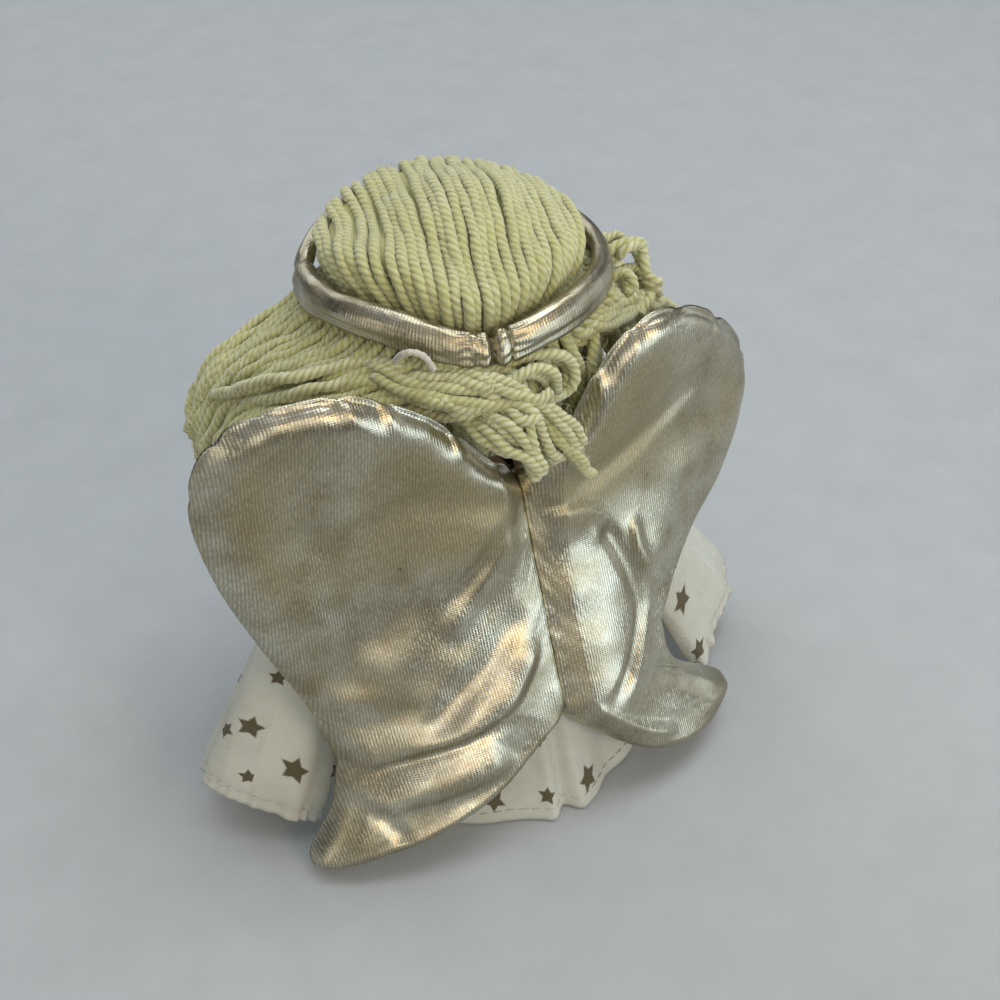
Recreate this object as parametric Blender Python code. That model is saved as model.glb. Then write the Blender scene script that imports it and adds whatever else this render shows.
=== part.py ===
"""Cloth angel doll, seated: sewn covers with their filling, a star-print gown, padded foil-cloth wings and halo,
and a yarn wig. Metres, +Z up. The doll faces -Y, its left hand is at +X, and it sits on the plane Z = 0."""

import math

import bmesh
import bpy
from mathutils import Matrix, Vector

MM = 0.001
UP = Vector((0, 0, 1))
LEFT, RIGHT = 1, -1
SIDE_NAMES = {LEFT: "left", RIGHT: "right"}

# Clearances and cloth
CLEAR = 0.5 * MM                # between pieces that are sewn or pressed together
SEAM_GAP = 0.3 * MM             # between two cut edges that meet in a seam
CLOTH = 0.9 * MM                # woven cotton with its seam allowance
FOIL_CLOTH = 0.7 * MM           # foil-coated knit of the wings and halo

# Body
SEAT_THICKNESS = 1.2 * MM
SEAT_RADIUS = 17 * MM
TORSO_TOP = 55.5 * MM
TORSO_WIDEST = 20 * MM          # half width of the torso at its fullest
TORSO_WIDEST_AT = 14 * MM       # height of that fullest ring

# Gown: outer half width, back depth and front depth at heights from the neckline to the floor
GOWN_RINGS = [
    (56.2 * MM, 9.6 * MM, 9.6 * MM, 9.6 * MM),
    (54.5 * MM, 12.0 * MM, 14.5 * MM, 11.8 * MM),
    (51 * MM, 15.5 * MM, 19.5 * MM, 14.5 * MM),
    (45 * MM, 18.5 * MM, 23.0 * MM, 18.0 * MM),
    (35 * MM, 22.5 * MM, 27.0 * MM, 24.0 * MM),
    (25 * MM, 26.0 * MM, 31.0 * MM, 29.0 * MM),
    (12 * MM, 30.0 * MM, 36.5 * MM, 33.0 * MM),
    (0.4 * MM, 33.0 * MM, 41.5 * MM, 35.0 * MM),
]
GOWN_FOLDS = 8
GOWN_FOLD_DEPTH = 1.5 * MM      # at the hem, fading to nothing at the neckline
GOWN_FRONT_LIFT = 17.5 * MM     # the front hem lies over the legs
GOWN_LIFT_HALF_ANGLE = math.radians(80)
TORSO_NECK_RADIUS = GOWN_RINGS[0][1] - CLOTH - CLEAR
NECKBAND_HEIGHT = 2.2 * MM
NECKBAND_WALL = 1.1 * MM

# Arms and sleeves
SHOULDER_Z = 51 * MM
SHOULDER_CLEAR = 1.4 * MM      # keeps the sleeve's round head off the gown below it
CUFF_CENTRE = Vector((52 * MM, 11 * MM, 5.8 * MM))
SLEEVE_TOP_RADIUS = 7.5 * MM
CUFF_HALF_WIDTH = 13 * MM
CUFF_HALF_DEPTH = 6.5 * MM
CUFF_ACROSS = Vector((-0.72, 0.69, 0))
ARM_RADIUS = 4.4 * MM
HAND_RADIUS = 4.9 * MM
HAND_SHORT_OF_CUFF = 3 * MM
ELASTIC_RADIUS = 0.55 * MM
ELASTIC_IN_FROM_HEM = 4 * MM

# Legs and feet
HIP_X = 12.5 * MM
LEG_RADIUS = 6.6 * MM
KNEE_SWELL = 0.5 * MM
LEG_LENGTH = 25 * MM            # hip pivot to ankle
LEG_OFF_FLOOR = 0.6 * MM
FOOT_LENGTH = 11 * MM
FOOT_HEIGHT = 17 * MM

# Head
NECK_BALL = 7 * MM
NECK_RADIUS = 7 * MM
HEAD_TURN = math.radians(-15)   # the head looks a little to the doll's right
HEAD_CENTRE = Vector((0, -5 * MM, 85 * MM))
HEAD_HALF = Vector((22.8 * MM, 22.0 * MM, 25.4 * MM))
HEAD_WALL = 1.0 * MM
NECK_SOCKET_CLEAR = 0.9 * MM
EYE_X, EYE_Z = 7.5 * MM, 83 * MM
EYE_HALF = (1.5 * MM, 0.7 * MM, 2.0 * MM)
MOUTH_HALF_WIDTH = 3.6 * MM
MOUTH_Z = 75.5 * MM
MOUTH_SAG = 1.2 * MM
MOUTH_RADIUS = 0.45 * MM

# Halo
HALO_Z = 100 * MM
HALO_DROP = 1.6 * MM            # how much lower the back is than the sides
HALO_HALF_WIDTH = 1.6 * MM      # the tube is pressed flat against the wig
HALO_HALF_HEIGHT = 2.5 * MM
HALO_JOIN_HALF_ANGLE = math.radians(7)

# Yarn wig
YARN = 2.4 * MM
CAP_TO_BACK = math.radians(122)   # how far the wig reaches down from the crown
CAP_TO_SIDE = math.radians(100)
CAP_TO_FRONT = math.radians(48)
FRINGE_TO = math.radians(70)
FRINGE_HALF_ANGLE = math.radians(56)
LOCK_BULGE = 1.5 * MM
LOCK_HALF_DEPTH = 15 * MM
LOCK_HALF_THICKNESS = 3.6 * MM
LOCK_TOP_Z = HALO_Z - HALO_HALF_HEIGHT - 5 * MM
LOCK_TIP = Vector((44.5 * MM, -7 * MM, 70 * MM))
BUNCH_RADIUS = 4.4 * MM         # the bunch runs round the back of the head and its cut ends hang down
BUNCH_FROM, BUNCH_TO = math.radians(58), math.radians(6)
BUNCH_Z = 91 * MM
BUNCH_SAG = 3 * MM
BUNCH_ENDS = Vector((-9 * MM, 28.5 * MM, 71.5 * MM))
TIE_RADIUS = 0.7 * MM

# Wings: the sewn centre line leans on the back of the gown; s runs out from it and t up along it
WING_MID = Vector((0, 25.5 * MM, 46 * MM))
WING_LEAN = math.radians(-22.5)
SEAM_TOP, SEAM_BOTTOM = 23 * MM, -23.5 * MM
SEAM_CORD_RADIUS = 0.85 * MM
WING_INNER_EDGE = 1.25 * MM
WING_BACK_PUFF = 5.0 * MM
WING_FRONT_PUFF = 1.9 * MM
WING_EDGE_HALF = 0.85 * MM
FILLING_SHRINK = 0.965
WING_CENTRE = (13 * MM, -19 * MM)
WING_WRAP_LOW = 70 * MM         # radius of the wrap round the gown, low and high on the wing
WING_WRAP_HIGH = 140 * MM
WING_BEND = math.radians(27)    # the lobes stand back from the head
WING_BEND_AT = 12 * MM
WING_BEND_SOFT = 6 * MM
WING_SETS_OFF = 6 * MM          # the bend and the curl start this far from the seam
TAIL_CURL = 5 * MM
TAIL_CURL_FROM, TAIL_CURL_OVER = -30 * MM, 15 * MM
WING_EDGE_MM = {                # (s, t) from the top of the seam round the lobe, the waist, the tail and the foot
    LEFT: [(7, 29.5), (13, 36.5), (20, 43), (30, 49), (40, 50.5), (49, 49), (54.5, 43), (56, 33), (53, 18), (48, 4),
           (43, -9), (40.5, -20), (42.5, -30.5), (48.5, -39.5), (46.5, -42.5), (38, -41.8), (26, -39.5), (14, -35),
           (5, -28.5)],
    RIGHT: [(7, 30), (12, 39), (18, 45), (26, 47), (36, 44), (47, 36), (53.5, 26), (53.5, 14), (47.5, 4),
            (38, -3), (31, -11), (27, -19), (29.5, -27.5), (38, -34), (43, -38.5), (39.5, -41.5), (29, -43), (17, -40),
            (6.5, -31.5)],
}
TAPE_HALF_WIDTH, TAPE_HALF_THICKNESS = 2.0 * MM, 0.4 * MM
TAPE_TOP, TAPE_BOTTOM = 0 * MM, -22 * MM

# Joints
NECK_PIVOT = Vector((0, 0, TORSO_TOP + CLEAR + NECK_BALL))
WING_UP = Vector((0, math.sin(WING_LEAN), math.cos(WING_LEAN)))
WING_OUT = Vector((0, math.cos(WING_LEAN), -math.sin(WING_LEAN)))

AROUND = 24                     # points round a body of revolution
OUTLINE_STEPS = 2               # spline points between two outline points


# Materials

def cloth_material(name, colour, roughness, metallic=0.0):
    """A plain finish that stands for the cloth in this model."""
    material = bpy.data.materials.new(name)
    material.use_nodes = True
    shader = material.node_tree.nodes["Principled BSDF"]
    shader.inputs["Base Color"].default_value = (*colour, 1)
    shader.inputs["Roughness"].default_value = roughness
    shader.inputs["Metallic"].default_value = metallic
    material.diffuse_color = (*colour, 1)
    return material


# Mesh helpers

def add_solid(name, points, faces, material, pivot=None):
    """A closed mesh from world points, carried by a pivot empty whose origin becomes the mesh's origin."""
    mesh = bpy.data.meshes.new(name)
    origin = pivot.location.copy() if pivot else Vector()
    mesh.from_pydata([tuple(p - origin) for p in points], [], faces)
    shape = bmesh.new()
    shape.from_mesh(mesh)
    bmesh.ops.recalc_face_normals(shape, faces=shape.faces)
    shape.to_mesh(mesh)
    shape.free()
    mesh.shade_smooth()
    mesh.set_sharp_from_angle(angle=math.radians(40))
    mesh.materials.append(material)
    solid = bpy.data.objects.new(name, mesh)
    bpy.context.scene.collection.objects.link(solid)
    solid.parent = pivot
    return solid


def add_pivot(name, place, turn=0.0, parent=None):
    """An empty on a joint's axis."""
    pivot = bpy.data.objects.new(name, None)
    bpy.context.scene.collection.objects.link(pivot)
    pivot.location = place
    pivot.rotation_euler.z = turn
    pivot.parent = parent
    return pivot


def skin(rings, looped=False):
    """Points and faces of a loft through rings of equal count, capped at both ends unless it is looped.
    A ring of one point is a pole."""
    points, starts = [], []
    for ring in rings:
        starts.append(len(points))
        points += ring
    faces = []
    pairs = list(zip(range(len(rings)), range(1, len(rings))))
    if looped:
        pairs.append((len(rings) - 1, 0))
    for a, b in pairs:
        for face in band(starts[a], len(rings[a]), starts[b], len(rings[b])):
            faces += cut_quad(points, face)
    if not looped:
        for k in (0, len(rings) - 1):
            if len(rings[k]) > 1:
                faces.append(list(range(starts[k], starts[k] + len(rings[k]))))
    return points, faces


def cut_quad(points, face):
    """A four-sided face cut along its shorter diagonal, so that sheets laid on each other are cut alike."""
    if len(face) == 3:
        return [face]
    a, b, c, d = face
    if (points[a] - points[c]).length_squared < (points[b] - points[d]).length_squared:
        return [[a, b, c], [a, c, d]]
    return [[a, b, d], [b, c, d]]


def band(start_a, count_a, start_b, count_b):
    """Faces between two rings, either of which may be a pole."""
    count = max(count_a, count_b)
    faces = []
    for i in range(count):
        j = (i + 1) % count
        a = [start_a] if count_a == 1 else [start_a + i, start_a + j]
        b = [start_b] if count_b == 1 else [start_b + j, start_b + i]
        faces.append(a + b)
    return faces


def sheet_solid(outer, inner):
    """Points and faces of a sheet of cloth from two grids of equal size."""
    rows, columns = len(outer), len(outer[0])
    points = [p for row in outer for p in row] + [p for row in inner for p in row]
    far = rows * columns
    faces = []
    for r in range(rows - 1):
        for c in range(columns - 1):
            k = r * columns + c
            quad = [k, k + 1, k + columns + 1, k + columns]
            faces.append(quad)
            faces.append([far + q for q in reversed(quad)])
    edge = [c for c in range(columns)]
    edge += [r * columns + columns - 1 for r in range(1, rows)]
    edge += [(rows - 1) * columns + c for c in range(columns - 2, -1, -1)]
    edge += [r * columns for r in range(rows - 2, 0, -1)]
    for a, b in zip(edge, edge[1:] + edge[:1]):
        faces.append([a, b, far + b, far + a])
    return points, faces


def turned(profile, half_width=1.0, half_depth=1.0, centre=Vector()):
    """Rings of a body of revolution from (radius, height) pairs. A radius of 0 is a pole."""
    rings = []
    for radius, height in profile:
        if radius == 0:
            rings.append([centre + Vector((0, 0, height))])
            continue
        ring = []
        for i in range(AROUND):
            angle = 2 * math.pi * i / AROUND
            ring.append(centre + Vector((radius * half_width * math.sin(angle),
                                         radius * half_depth * math.cos(angle), height)))
        rings.append(ring)
    return rings


def tube(path, across, radii, sides=16):
    """Rings of a stuffed tube along a path. across is the wide direction, and radii give (wide, deep) pairs."""
    rings = []
    for k, place in enumerate(path):
        ahead = path[min(k + 1, len(path) - 1)] - path[max(k - 1, 0)]
        along = ahead.normalized()
        wide = (across - across.dot(along) * along).normalized()
        deep = along.cross(wide)
        half_wide, half_deep = radii[k]
        ring = []
        for i in range(sides):
            angle = 2 * math.pi * i / sides
            ring.append(place + wide * half_wide * math.cos(angle) + deep * half_deep * math.sin(angle))
        rings.append(ring)
    return rings


def smooth(points, steps, closed=False):
    """Points on a Catmull-Rom curve through the given ones."""
    count = len(points)
    spans = count if closed else count - 1
    found = []
    for k in range(spans):
        p = [points[(k + o) % count] if closed else points[min(max(k + o, 0), count - 1)] for o in (-1, 0, 1, 2)]
        for i in range(steps):
            t = i / steps
            found.append(tuple(
                0.5 * (2 * b + (c - a) * t + (2 * a - 5 * b + 4 * c - d) * t * t + (3 * b - a - 3 * c + d) * t ** 3)
                for a, b, c, d in zip(*p)))
    if not closed:
        found.append(tuple(points[-1]))
    return found


def mirrored(place, side):
    """A point of the doll's left side, or its mirror on the right."""
    return Vector((place.x * side, place.y, place.z))


def between(a, b, t):
    """The value a share t of the way from a to b."""
    return a + (b - a) * t


# Gown sizes that other pieces follow

def gown_half(height):
    """Half width, back depth and front depth of the gown's outside at a height."""
    for upper, lower in zip(GOWN_RINGS, GOWN_RINGS[1:]):
        if height >= lower[0]:
            t = (upper[0] - height) / (upper[0] - lower[0])
            return [between(u, l, t) for u, l in zip(upper[1:], lower[1:])]
    return GOWN_RINGS[-1][1:]


def gown_point(angle, height, inset=0.0):
    """A point of the gown's outside, or inset from it. Angle 0 is the back and a quarter turn the left side."""
    half_width, back, front = gown_half(height)
    depth = back if math.cos(angle) > 0 else front
    low = 1 - height / GOWN_RINGS[0][0]
    fold = GOWN_FOLD_DEPTH * max(low, 0) ** 1.5 * (math.cos(GOWN_FOLDS * angle) - 1)
    return Vector(((half_width + fold - inset) * math.sin(angle), (depth + fold - inset) * math.cos(angle), height))


def gown_hem(angle):
    """The hem's height: on the floor behind and at the sides, over the legs in front."""
    from_front = abs(abs(angle) - math.pi)
    if from_front >= GOWN_LIFT_HALF_ANGLE:
        return GOWN_RINGS[-1][0]
    rise = 0.5 + 0.5 * math.cos(math.pi * from_front / GOWN_LIFT_HALF_ANGLE)
    return GOWN_RINGS[-1][0] + GOWN_FRONT_LIFT * min(1.0, 1.6 * rise)


# Body pieces

def torso_profile(inset, foot):
    """Radius and height of the torso from its foot to its top, inset from the outside."""
    return [
        (SEAT_RADIUS - inset, foot),
        (between(SEAT_RADIUS, TORSO_WIDEST, 0.75) - inset, between(foot, TORSO_WIDEST_AT, 0.35)),
        (TORSO_WIDEST - inset, TORSO_WIDEST_AT),
        (TORSO_WIDEST * 0.93 - inset, between(TORSO_WIDEST_AT, TORSO_TOP, 0.3)),
        (between(TORSO_NECK_RADIUS, TORSO_WIDEST, 0.58) - inset, between(TORSO_WIDEST_AT, TORSO_TOP, 0.6)),
        (between(TORSO_NECK_RADIUS, TORSO_WIDEST, 0.25) - inset, between(TORSO_WIDEST_AT, TORSO_TOP, 0.85)),
        (TORSO_NECK_RADIUS - inset, TORSO_TOP - inset),
    ]


def torso_radius(height):
    """The torso's outside radius at a height."""
    profile = torso_profile(0, SEAT_THICKNESS + SEAM_GAP)
    for (low_radius, low), (high_radius, high) in zip(profile, profile[1:]):
        if height <= high:
            return between(low_radius, high_radius, (height - low) / (high - low))
    return profile[-1][0]


def build_body(muslin, fill):
    """The seat panel, the torso cover that is sewn round it, and the filling."""
    seat = [(SEAT_RADIUS, 0), (SEAT_RADIUS, SEAT_THICKNESS)]
    add_solid("seat_panel", *skin(turned(seat)), muslin)
    foot = SEAT_THICKNESS + SEAM_GAP
    outer = torso_profile(0, foot)
    inner = torso_profile(CLOTH, foot)
    bell = [(0, TORSO_TOP)] + outer[::-1] + inner + [(0, TORSO_TOP - CLOTH)]
    add_solid("body_cover", *skin(turned(bell)), muslin)
    core = torso_profile(CLOTH + CLEAR, foot)
    plug = [(0, foot)] + core + [(0, core[-1][1])]
    add_solid("body_filling", *skin(turned(plug)), fill)


def build_gown(cotton):
    """The back and front panels, sewn together at the sides, and the band round the neckline."""
    heights = [ring[0] for ring in GOWN_RINGS]
    for name, middle in (("gown_back_panel", 0.0), ("gown_front_panel", math.pi)):
        columns = AROUND
        trim = 0.5 * SEAM_GAP / GOWN_RINGS[0][1]
        angles = [middle + between(-math.pi / 2 + trim, math.pi / 2 - trim, c / columns) for c in range(columns + 1)]
        grids = []
        for inset in (0.0, CLOTH):
            grid = []
            for height in heights:
                share = (heights[0] - height) / (heights[0] - heights[-1])
                row = []
                for angle in angles:
                    turn = (angle + math.pi) % (2 * math.pi) - math.pi
                    row.append(gown_point(angle, between(heights[0], gown_hem(turn), share), inset))
                grid.append(row)
            grids.append(grid)
        add_solid(name, *sheet_solid(*grids), cotton)
    inner = GOWN_RINGS[0][1] - NECKBAND_WALL
    foot = GOWN_RINGS[0][0] + SEAM_GAP
    outer = GOWN_RINGS[0][1]
    ring = [(outer, foot), (outer, foot + NECKBAND_HEIGHT), (inner, foot + NECKBAND_HEIGHT), (inner, foot)]
    add_solid("neckband", *skin(turned(ring), looped=True), cotton)


# Arms

def sleeve_frame(side):
    """The shoulder pivot, the middle of the cuff, and the cuff's wide direction."""
    half_width = gown_half(SHOULDER_Z)[0]
    shoulder = Vector((half_width + SHOULDER_CLEAR + SLEEVE_TOP_RADIUS, 0, SHOULDER_Z))
    return mirrored(shoulder, side), mirrored(CUFF_CENTRE, side), mirrored(CUFF_ACROSS, side)


def build_arm(side, cotton, skin_cloth, elastic):
    """A stuffed arm in its bell sleeve, with the elastic that draws the cuff in."""
    name = SIDE_NAMES[side]
    shoulder, cuff, across = sleeve_frame(side)
    pivot = add_pivot(f"{name}_shoulder_pivot", shoulder)
    along = (cuff - shoulder).normalized()
    length = (cuff - shoulder).length

    def stations(shares, size):
        path = [shoulder + along * length * share for share in shares]
        radii = [size(share) for share in shares]
        return path, radii

    def sleeve_size(share, inset=0.0):
        top = SLEEVE_TOP_RADIUS
        return (between(top, CUFF_HALF_WIDTH, share ** 1.2) - inset,
                between(top, CUFF_HALF_DEPTH, share) - inset)

    shares = (0.0, 0.12, 0.3, 0.5, 0.7, 0.88, 1.0)
    outer = tube(stations(shares, sleeve_size)[0], across, [sleeve_size(s) for s in shares])
    inner = tube(stations(shares, sleeve_size)[0], across, [sleeve_size(s, CLOTH) for s in shares])
    crown = SLEEVE_TOP_RADIUS * 0.5
    shrink = 0.72
    cap_outer = tube([shoulder - along * crown], across, [(SLEEVE_TOP_RADIUS * shrink,) * 2])
    cap_inner = tube([shoulder - along * (crown - CLOTH)], across, [(SLEEVE_TOP_RADIUS * shrink - CLOTH,) * 2])
    for cap, template in ((cap_outer, outer), (cap_inner, inner)):
        middle = sum(template[0], Vector()) / len(template[0])
        size = cap[0][0]
        radius = SLEEVE_TOP_RADIUS * shrink - (CLOTH if cap is cap_inner else 0)
        back = crown - (CLOTH if cap is cap_inner else 0)
        cap[0] = [shoulder - along * back + (p - middle).normalized() * radius for p in template[0]]
    top_outer = [shoulder - along * (crown + CLOTH)]
    top_inner = [shoulder - along * crown]
    rings = [top_outer] + cap_outer + outer + inner[::-1] + cap_inner + [top_inner]
    add_solid(f"{name}_sleeve", *skin(rings), cotton, pivot)

    reach = 1 - HAND_SHORT_OF_CUFF / length
    arm_stations = [
        (-0.03, ARM_RADIUS * 0.6), (0.02, ARM_RADIUS), (0.25 * reach, ARM_RADIUS * 1.05), (0.55 * reach, ARM_RADIUS),
        (0.74 * reach, ARM_RADIUS * 0.86), (0.86 * reach, HAND_RADIUS), (0.95 * reach, HAND_RADIUS * 0.85),
        (reach, HAND_RADIUS * 0.4)]
    path = [shoulder + along * length * share for share, _ in arm_stations]
    radii = [(radius, radius) for _, radius in arm_stations]
    add_solid(f"{name}_arm", *skin(tube(path, across, radii)), skin_cloth, pivot)

    share = 1 - ELASTIC_IN_FROM_HEM / length
    wide, deep = sleeve_size(share, CLOTH + SEAM_GAP + ELASTIC_RADIUS)
    loop = tube([shoulder + along * length * share, cuff], across, [(wide, deep)] * 2, sides=16)[0]
    add_solid(f"{name}_cuff_elastic", *closed_cord(loop, ELASTIC_RADIUS), elastic, pivot)


def closed_cord(loop, radius, sides=6):
    """Points and faces of a closed cord through a loop of points."""
    rings = []
    count = len(loop)
    middle = sum(loop, Vector()) / count
    for k, place in enumerate(loop):
        along = (loop[(k + 1) % count] - loop[k - 1]).normalized()
        out = (place - middle)
        out = (out - out.dot(along) * along).normalized()
        third = along.cross(out)
        rings.append([place + (out * math.cos(a) + third * math.sin(a)) * radius
                      for a in (2 * math.pi * i / sides for i in range(sides))])
    return skin(rings, looped=True)


# Legs

def hip_place(side):
    """The hip pivot, far enough forward for the leg's round end to clear the torso."""
    height = LEG_OFF_FLOOR + LEG_RADIUS + KNEE_SWELL
    reach = torso_radius(height) + CLEAR + LEG_RADIUS
    return Vector((HIP_X * side, -math.sqrt(reach ** 2 - HIP_X ** 2), height))


def build_leg(side, skin_cloth, bootie_cloth):
    """A stuffed leg that points forward, and the bootie sewn to its end."""
    name = SIDE_NAMES[side]
    hip = hip_place(side)
    pivot = add_pivot(f"{name}_hip_pivot", hip)
    ahead = Vector((0, -1, 0))
    round_end = [(-math.cos(a), math.sin(a)) for a in (math.radians(d) for d in (20, 50, 75))]
    stations = [(LEG_RADIUS * along, LEG_RADIUS * radius) for along, radius in round_end]
    stations += [(LEG_LENGTH * 0.2, LEG_RADIUS), (LEG_LENGTH * 0.5, LEG_RADIUS + KNEE_SWELL),
                 (LEG_LENGTH * 0.8, LEG_RADIUS * 0.95), (LEG_LENGTH, LEG_RADIUS * 0.85)]
    path = [hip + ahead * along for along, _ in stations]
    radii = [(radius, radius) for _, radius in stations]
    add_solid(f"{name}_leg", *skin(tube(path, Vector((1, 0, 0)), radii)), skin_cloth, pivot)

    sole = hip + ahead * (LEG_LENGTH + SEAM_GAP)
    profile = [(0.0, 0.85), (0.25, 1.0), (0.6, 1.02), (0.85, 0.85), (1.0, 0.5)]
    rise = FOOT_HEIGHT / 2 - (LEG_RADIUS + KNEE_SWELL)
    path = [sole + ahead * FOOT_LENGTH * along + UP * rise * min(1.0, along * 3) for along, _ in profile]
    radii = []
    for along, swell in profile:
        tall = between(LEG_RADIUS, FOOT_HEIGHT / 2, min(1.0, along * 3))
        radii.append((LEG_RADIUS * swell, tall * swell * 0.98))
    rings = [[p for p in ring] for ring in tube_upright(path, radii)]
    add_solid(f"{name}_bootie", *skin(rings), bootie_cloth, pivot)


def tube_upright(path, radii, sides=12):
    """Rings in upright planes that face along -Y, with (half width, half height) pairs."""
    return [[place + Vector((wide * math.cos(a), 0, tall * math.sin(a)))
             for a in (2 * math.pi * i / sides for i in range(sides))]
            for place, (wide, tall) in zip(path, radii)]


# Head, face and wig

def head_point(polar, angle, grow=0.0):
    """A point on the head, or grown out from it. Polar 0 is the crown; angle 0 is the back."""
    half = HEAD_HALF + Vector((grow, grow, grow))
    return HEAD_CENTRE + Vector((half.x * math.sin(polar) * math.sin(angle),
                                 half.y * math.sin(polar) * math.cos(angle), half.z * math.cos(polar)))


def build_neck(skin_cloth, pivot):
    """The neck stump, round below so that it rocks on the shoulders."""
    below = [(NECK_BALL * math.sin(a), -NECK_BALL * math.cos(a)) for a in (math.radians(d) for d in (30, 60, 90))]
    profile = [(0, -NECK_BALL)] + below + [(NECK_RADIUS * 0.9, 2.2 * MM), (0, 2.6 * MM)]
    add_solid("neck", *skin(turned(profile, centre=NECK_PIVOT)), skin_cloth, pivot)


def head_rings(grow, opening):
    """Rings of the head from the crown down to an opening round the neck."""
    rings = [[head_point(0, 0, grow)]]
    foot = math.pi - math.asin(min(0.9, opening / (HEAD_HALF.x + grow)))
    steps = 11
    for k in range(1, steps + 1):
        polar = foot * k / steps
        rings.append([head_point(polar, 2 * math.pi * i / AROUND, grow) for i in range(AROUND)])
    return rings


def build_head(skin_cloth, fill, pivot):
    """The head cover with its neck opening, and its filling."""
    opening = NECK_RADIUS + abs(HEAD_CENTRE.y) + NECK_SOCKET_CLEAR
    outer = head_rings(0.0, opening)
    inner = head_rings(-HEAD_WALL, opening)
    add_solid("head_cover", *skin(outer + inner[::-1]), skin_cloth, pivot)
    core = head_rings(-HEAD_WALL - CLEAR, opening + 2 * MM)
    top_of_neck = NECK_PIVOT.z + 2.6 * MM + CLEAR
    core = [[Vector((p.x, p.y, max(p.z, top_of_neck))) for p in ring] for ring in core]
    add_solid("head_filling", *skin(core), fill, pivot)


def face_y(x, z, proud):
    """How far forward the face stands at a place, plus a little."""
    inside = 1 - (x / HEAD_HALF.x) ** 2 - ((z - HEAD_CENTRE.z) / HEAD_HALF.z) ** 2
    return HEAD_CENTRE.y - HEAD_HALF.y * math.sqrt(inside) - proud


def build_face(thread, pivot):
    """Two worked eyes and a stitched mouth that lie on the face."""
    for side in (LEFT, RIGHT):
        half_x, half_y, half_z = EYE_HALF
        middle = Vector((EYE_X * side, face_y(EYE_X, EYE_Z, SEAM_GAP + half_y), EYE_Z))
        rings = [[middle - Vector((0, half_y, 0))]]
        for tilt in (math.radians(45), math.radians(90)):
            rings.append([middle + Vector((half_x * math.sin(tilt) * math.cos(a), -half_y * math.cos(tilt),
                                           half_z * math.sin(tilt) * math.sin(a)))
                          for a in (2 * math.pi * i / 10 for i in range(10))])
        add_solid(f"{SIDE_NAMES[side]}_eye", *skin(rings), thread, pivot)
    path = []
    for k in range(9):
        share = between(-1, 1, k / 8)
        x = MOUTH_HALF_WIDTH * share
        z = MOUTH_Z + MOUTH_SAG * share * share
        path.append(Vector((x, face_y(x, z, MOUTH_RADIUS + SEAM_GAP), z)))
    rings = tube(path, UP, [(MOUTH_RADIUS, MOUTH_RADIUS)] * 9, sides=6)
    add_solid("mouth_stitch", *skin(rings), thread, pivot)


def wig_edge(angle):
    """How far down from the crown the wig reaches, by the angle from the back."""
    back = 0.5 + 0.5 * math.cos(angle)
    if back > 0.5:
        return between(CAP_TO_SIDE, CAP_TO_BACK, 2 * back - 1)
    return between(CAP_TO_FRONT, CAP_TO_SIDE, (2 * back) ** 0.7)


def build_wig_cap(yarn, pivot):
    """The yarn that is laid from the forehead over the crown, and the fringe."""
    layers = []
    for grow in (CLEAR + YARN, CLEAR):
        rings = [[head_point(0, 0, grow)]]
        steps = 8
        for k in range(1, steps + 1):
            ring = []
            for i in range(AROUND):
                angle = 2 * math.pi * i / AROUND
                ring.append(head_point(wig_edge(angle) * k / steps, angle, grow))
            rings.append(ring)
        layers.append(rings)
    add_solid("hair_crown", *skin(layers[0] + layers[1][::-1]), yarn, pivot)
    gap = 2 * CLEAR / HEAD_HALF.z
    grids = []
    for grow in (CLEAR + YARN, CLEAR):
        grid = []
        for k in range(4):
            row = []
            for i in range(11):
                angle = math.pi + between(-FRINGE_HALF_ANGLE, FRINGE_HALF_ANGLE, i / 10)
                top = wig_edge(angle) + gap
                bottom = max(FRINGE_TO, top + 2 * gap)
                row.append(head_point(between(top, bottom, k / 3), angle, grow))
            grid.append(row)
        grids.append(grid)
    add_solid("hair_fringe", *sheet_solid(*grids), yarn, pivot)


def wig_half(height):
    """Half width and half depth of the wig's outside at a height."""
    grow = CLEAR + YARN
    round_by = math.sqrt(1 - ((height - HEAD_CENTRE.z) / (HEAD_HALF.z + grow)) ** 2)
    return (HEAD_HALF.x + grow) * round_by, (HEAD_HALF.y + grow) * round_by


def wig_reach(height, side_on):
    """Middle of the turned wig, and how far it reaches at a height: to the sides, or else to the back."""
    half_width, half_depth = wig_half(height)
    turn = HEAD_TURN if side_on else HEAD_TURN + math.pi / 2
    reach = math.hypot(half_width * math.cos(turn), half_depth * math.sin(turn))
    middle = Matrix.Rotation(HEAD_TURN, 3, "Z") @ HEAD_CENTRE
    return middle, reach


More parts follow.
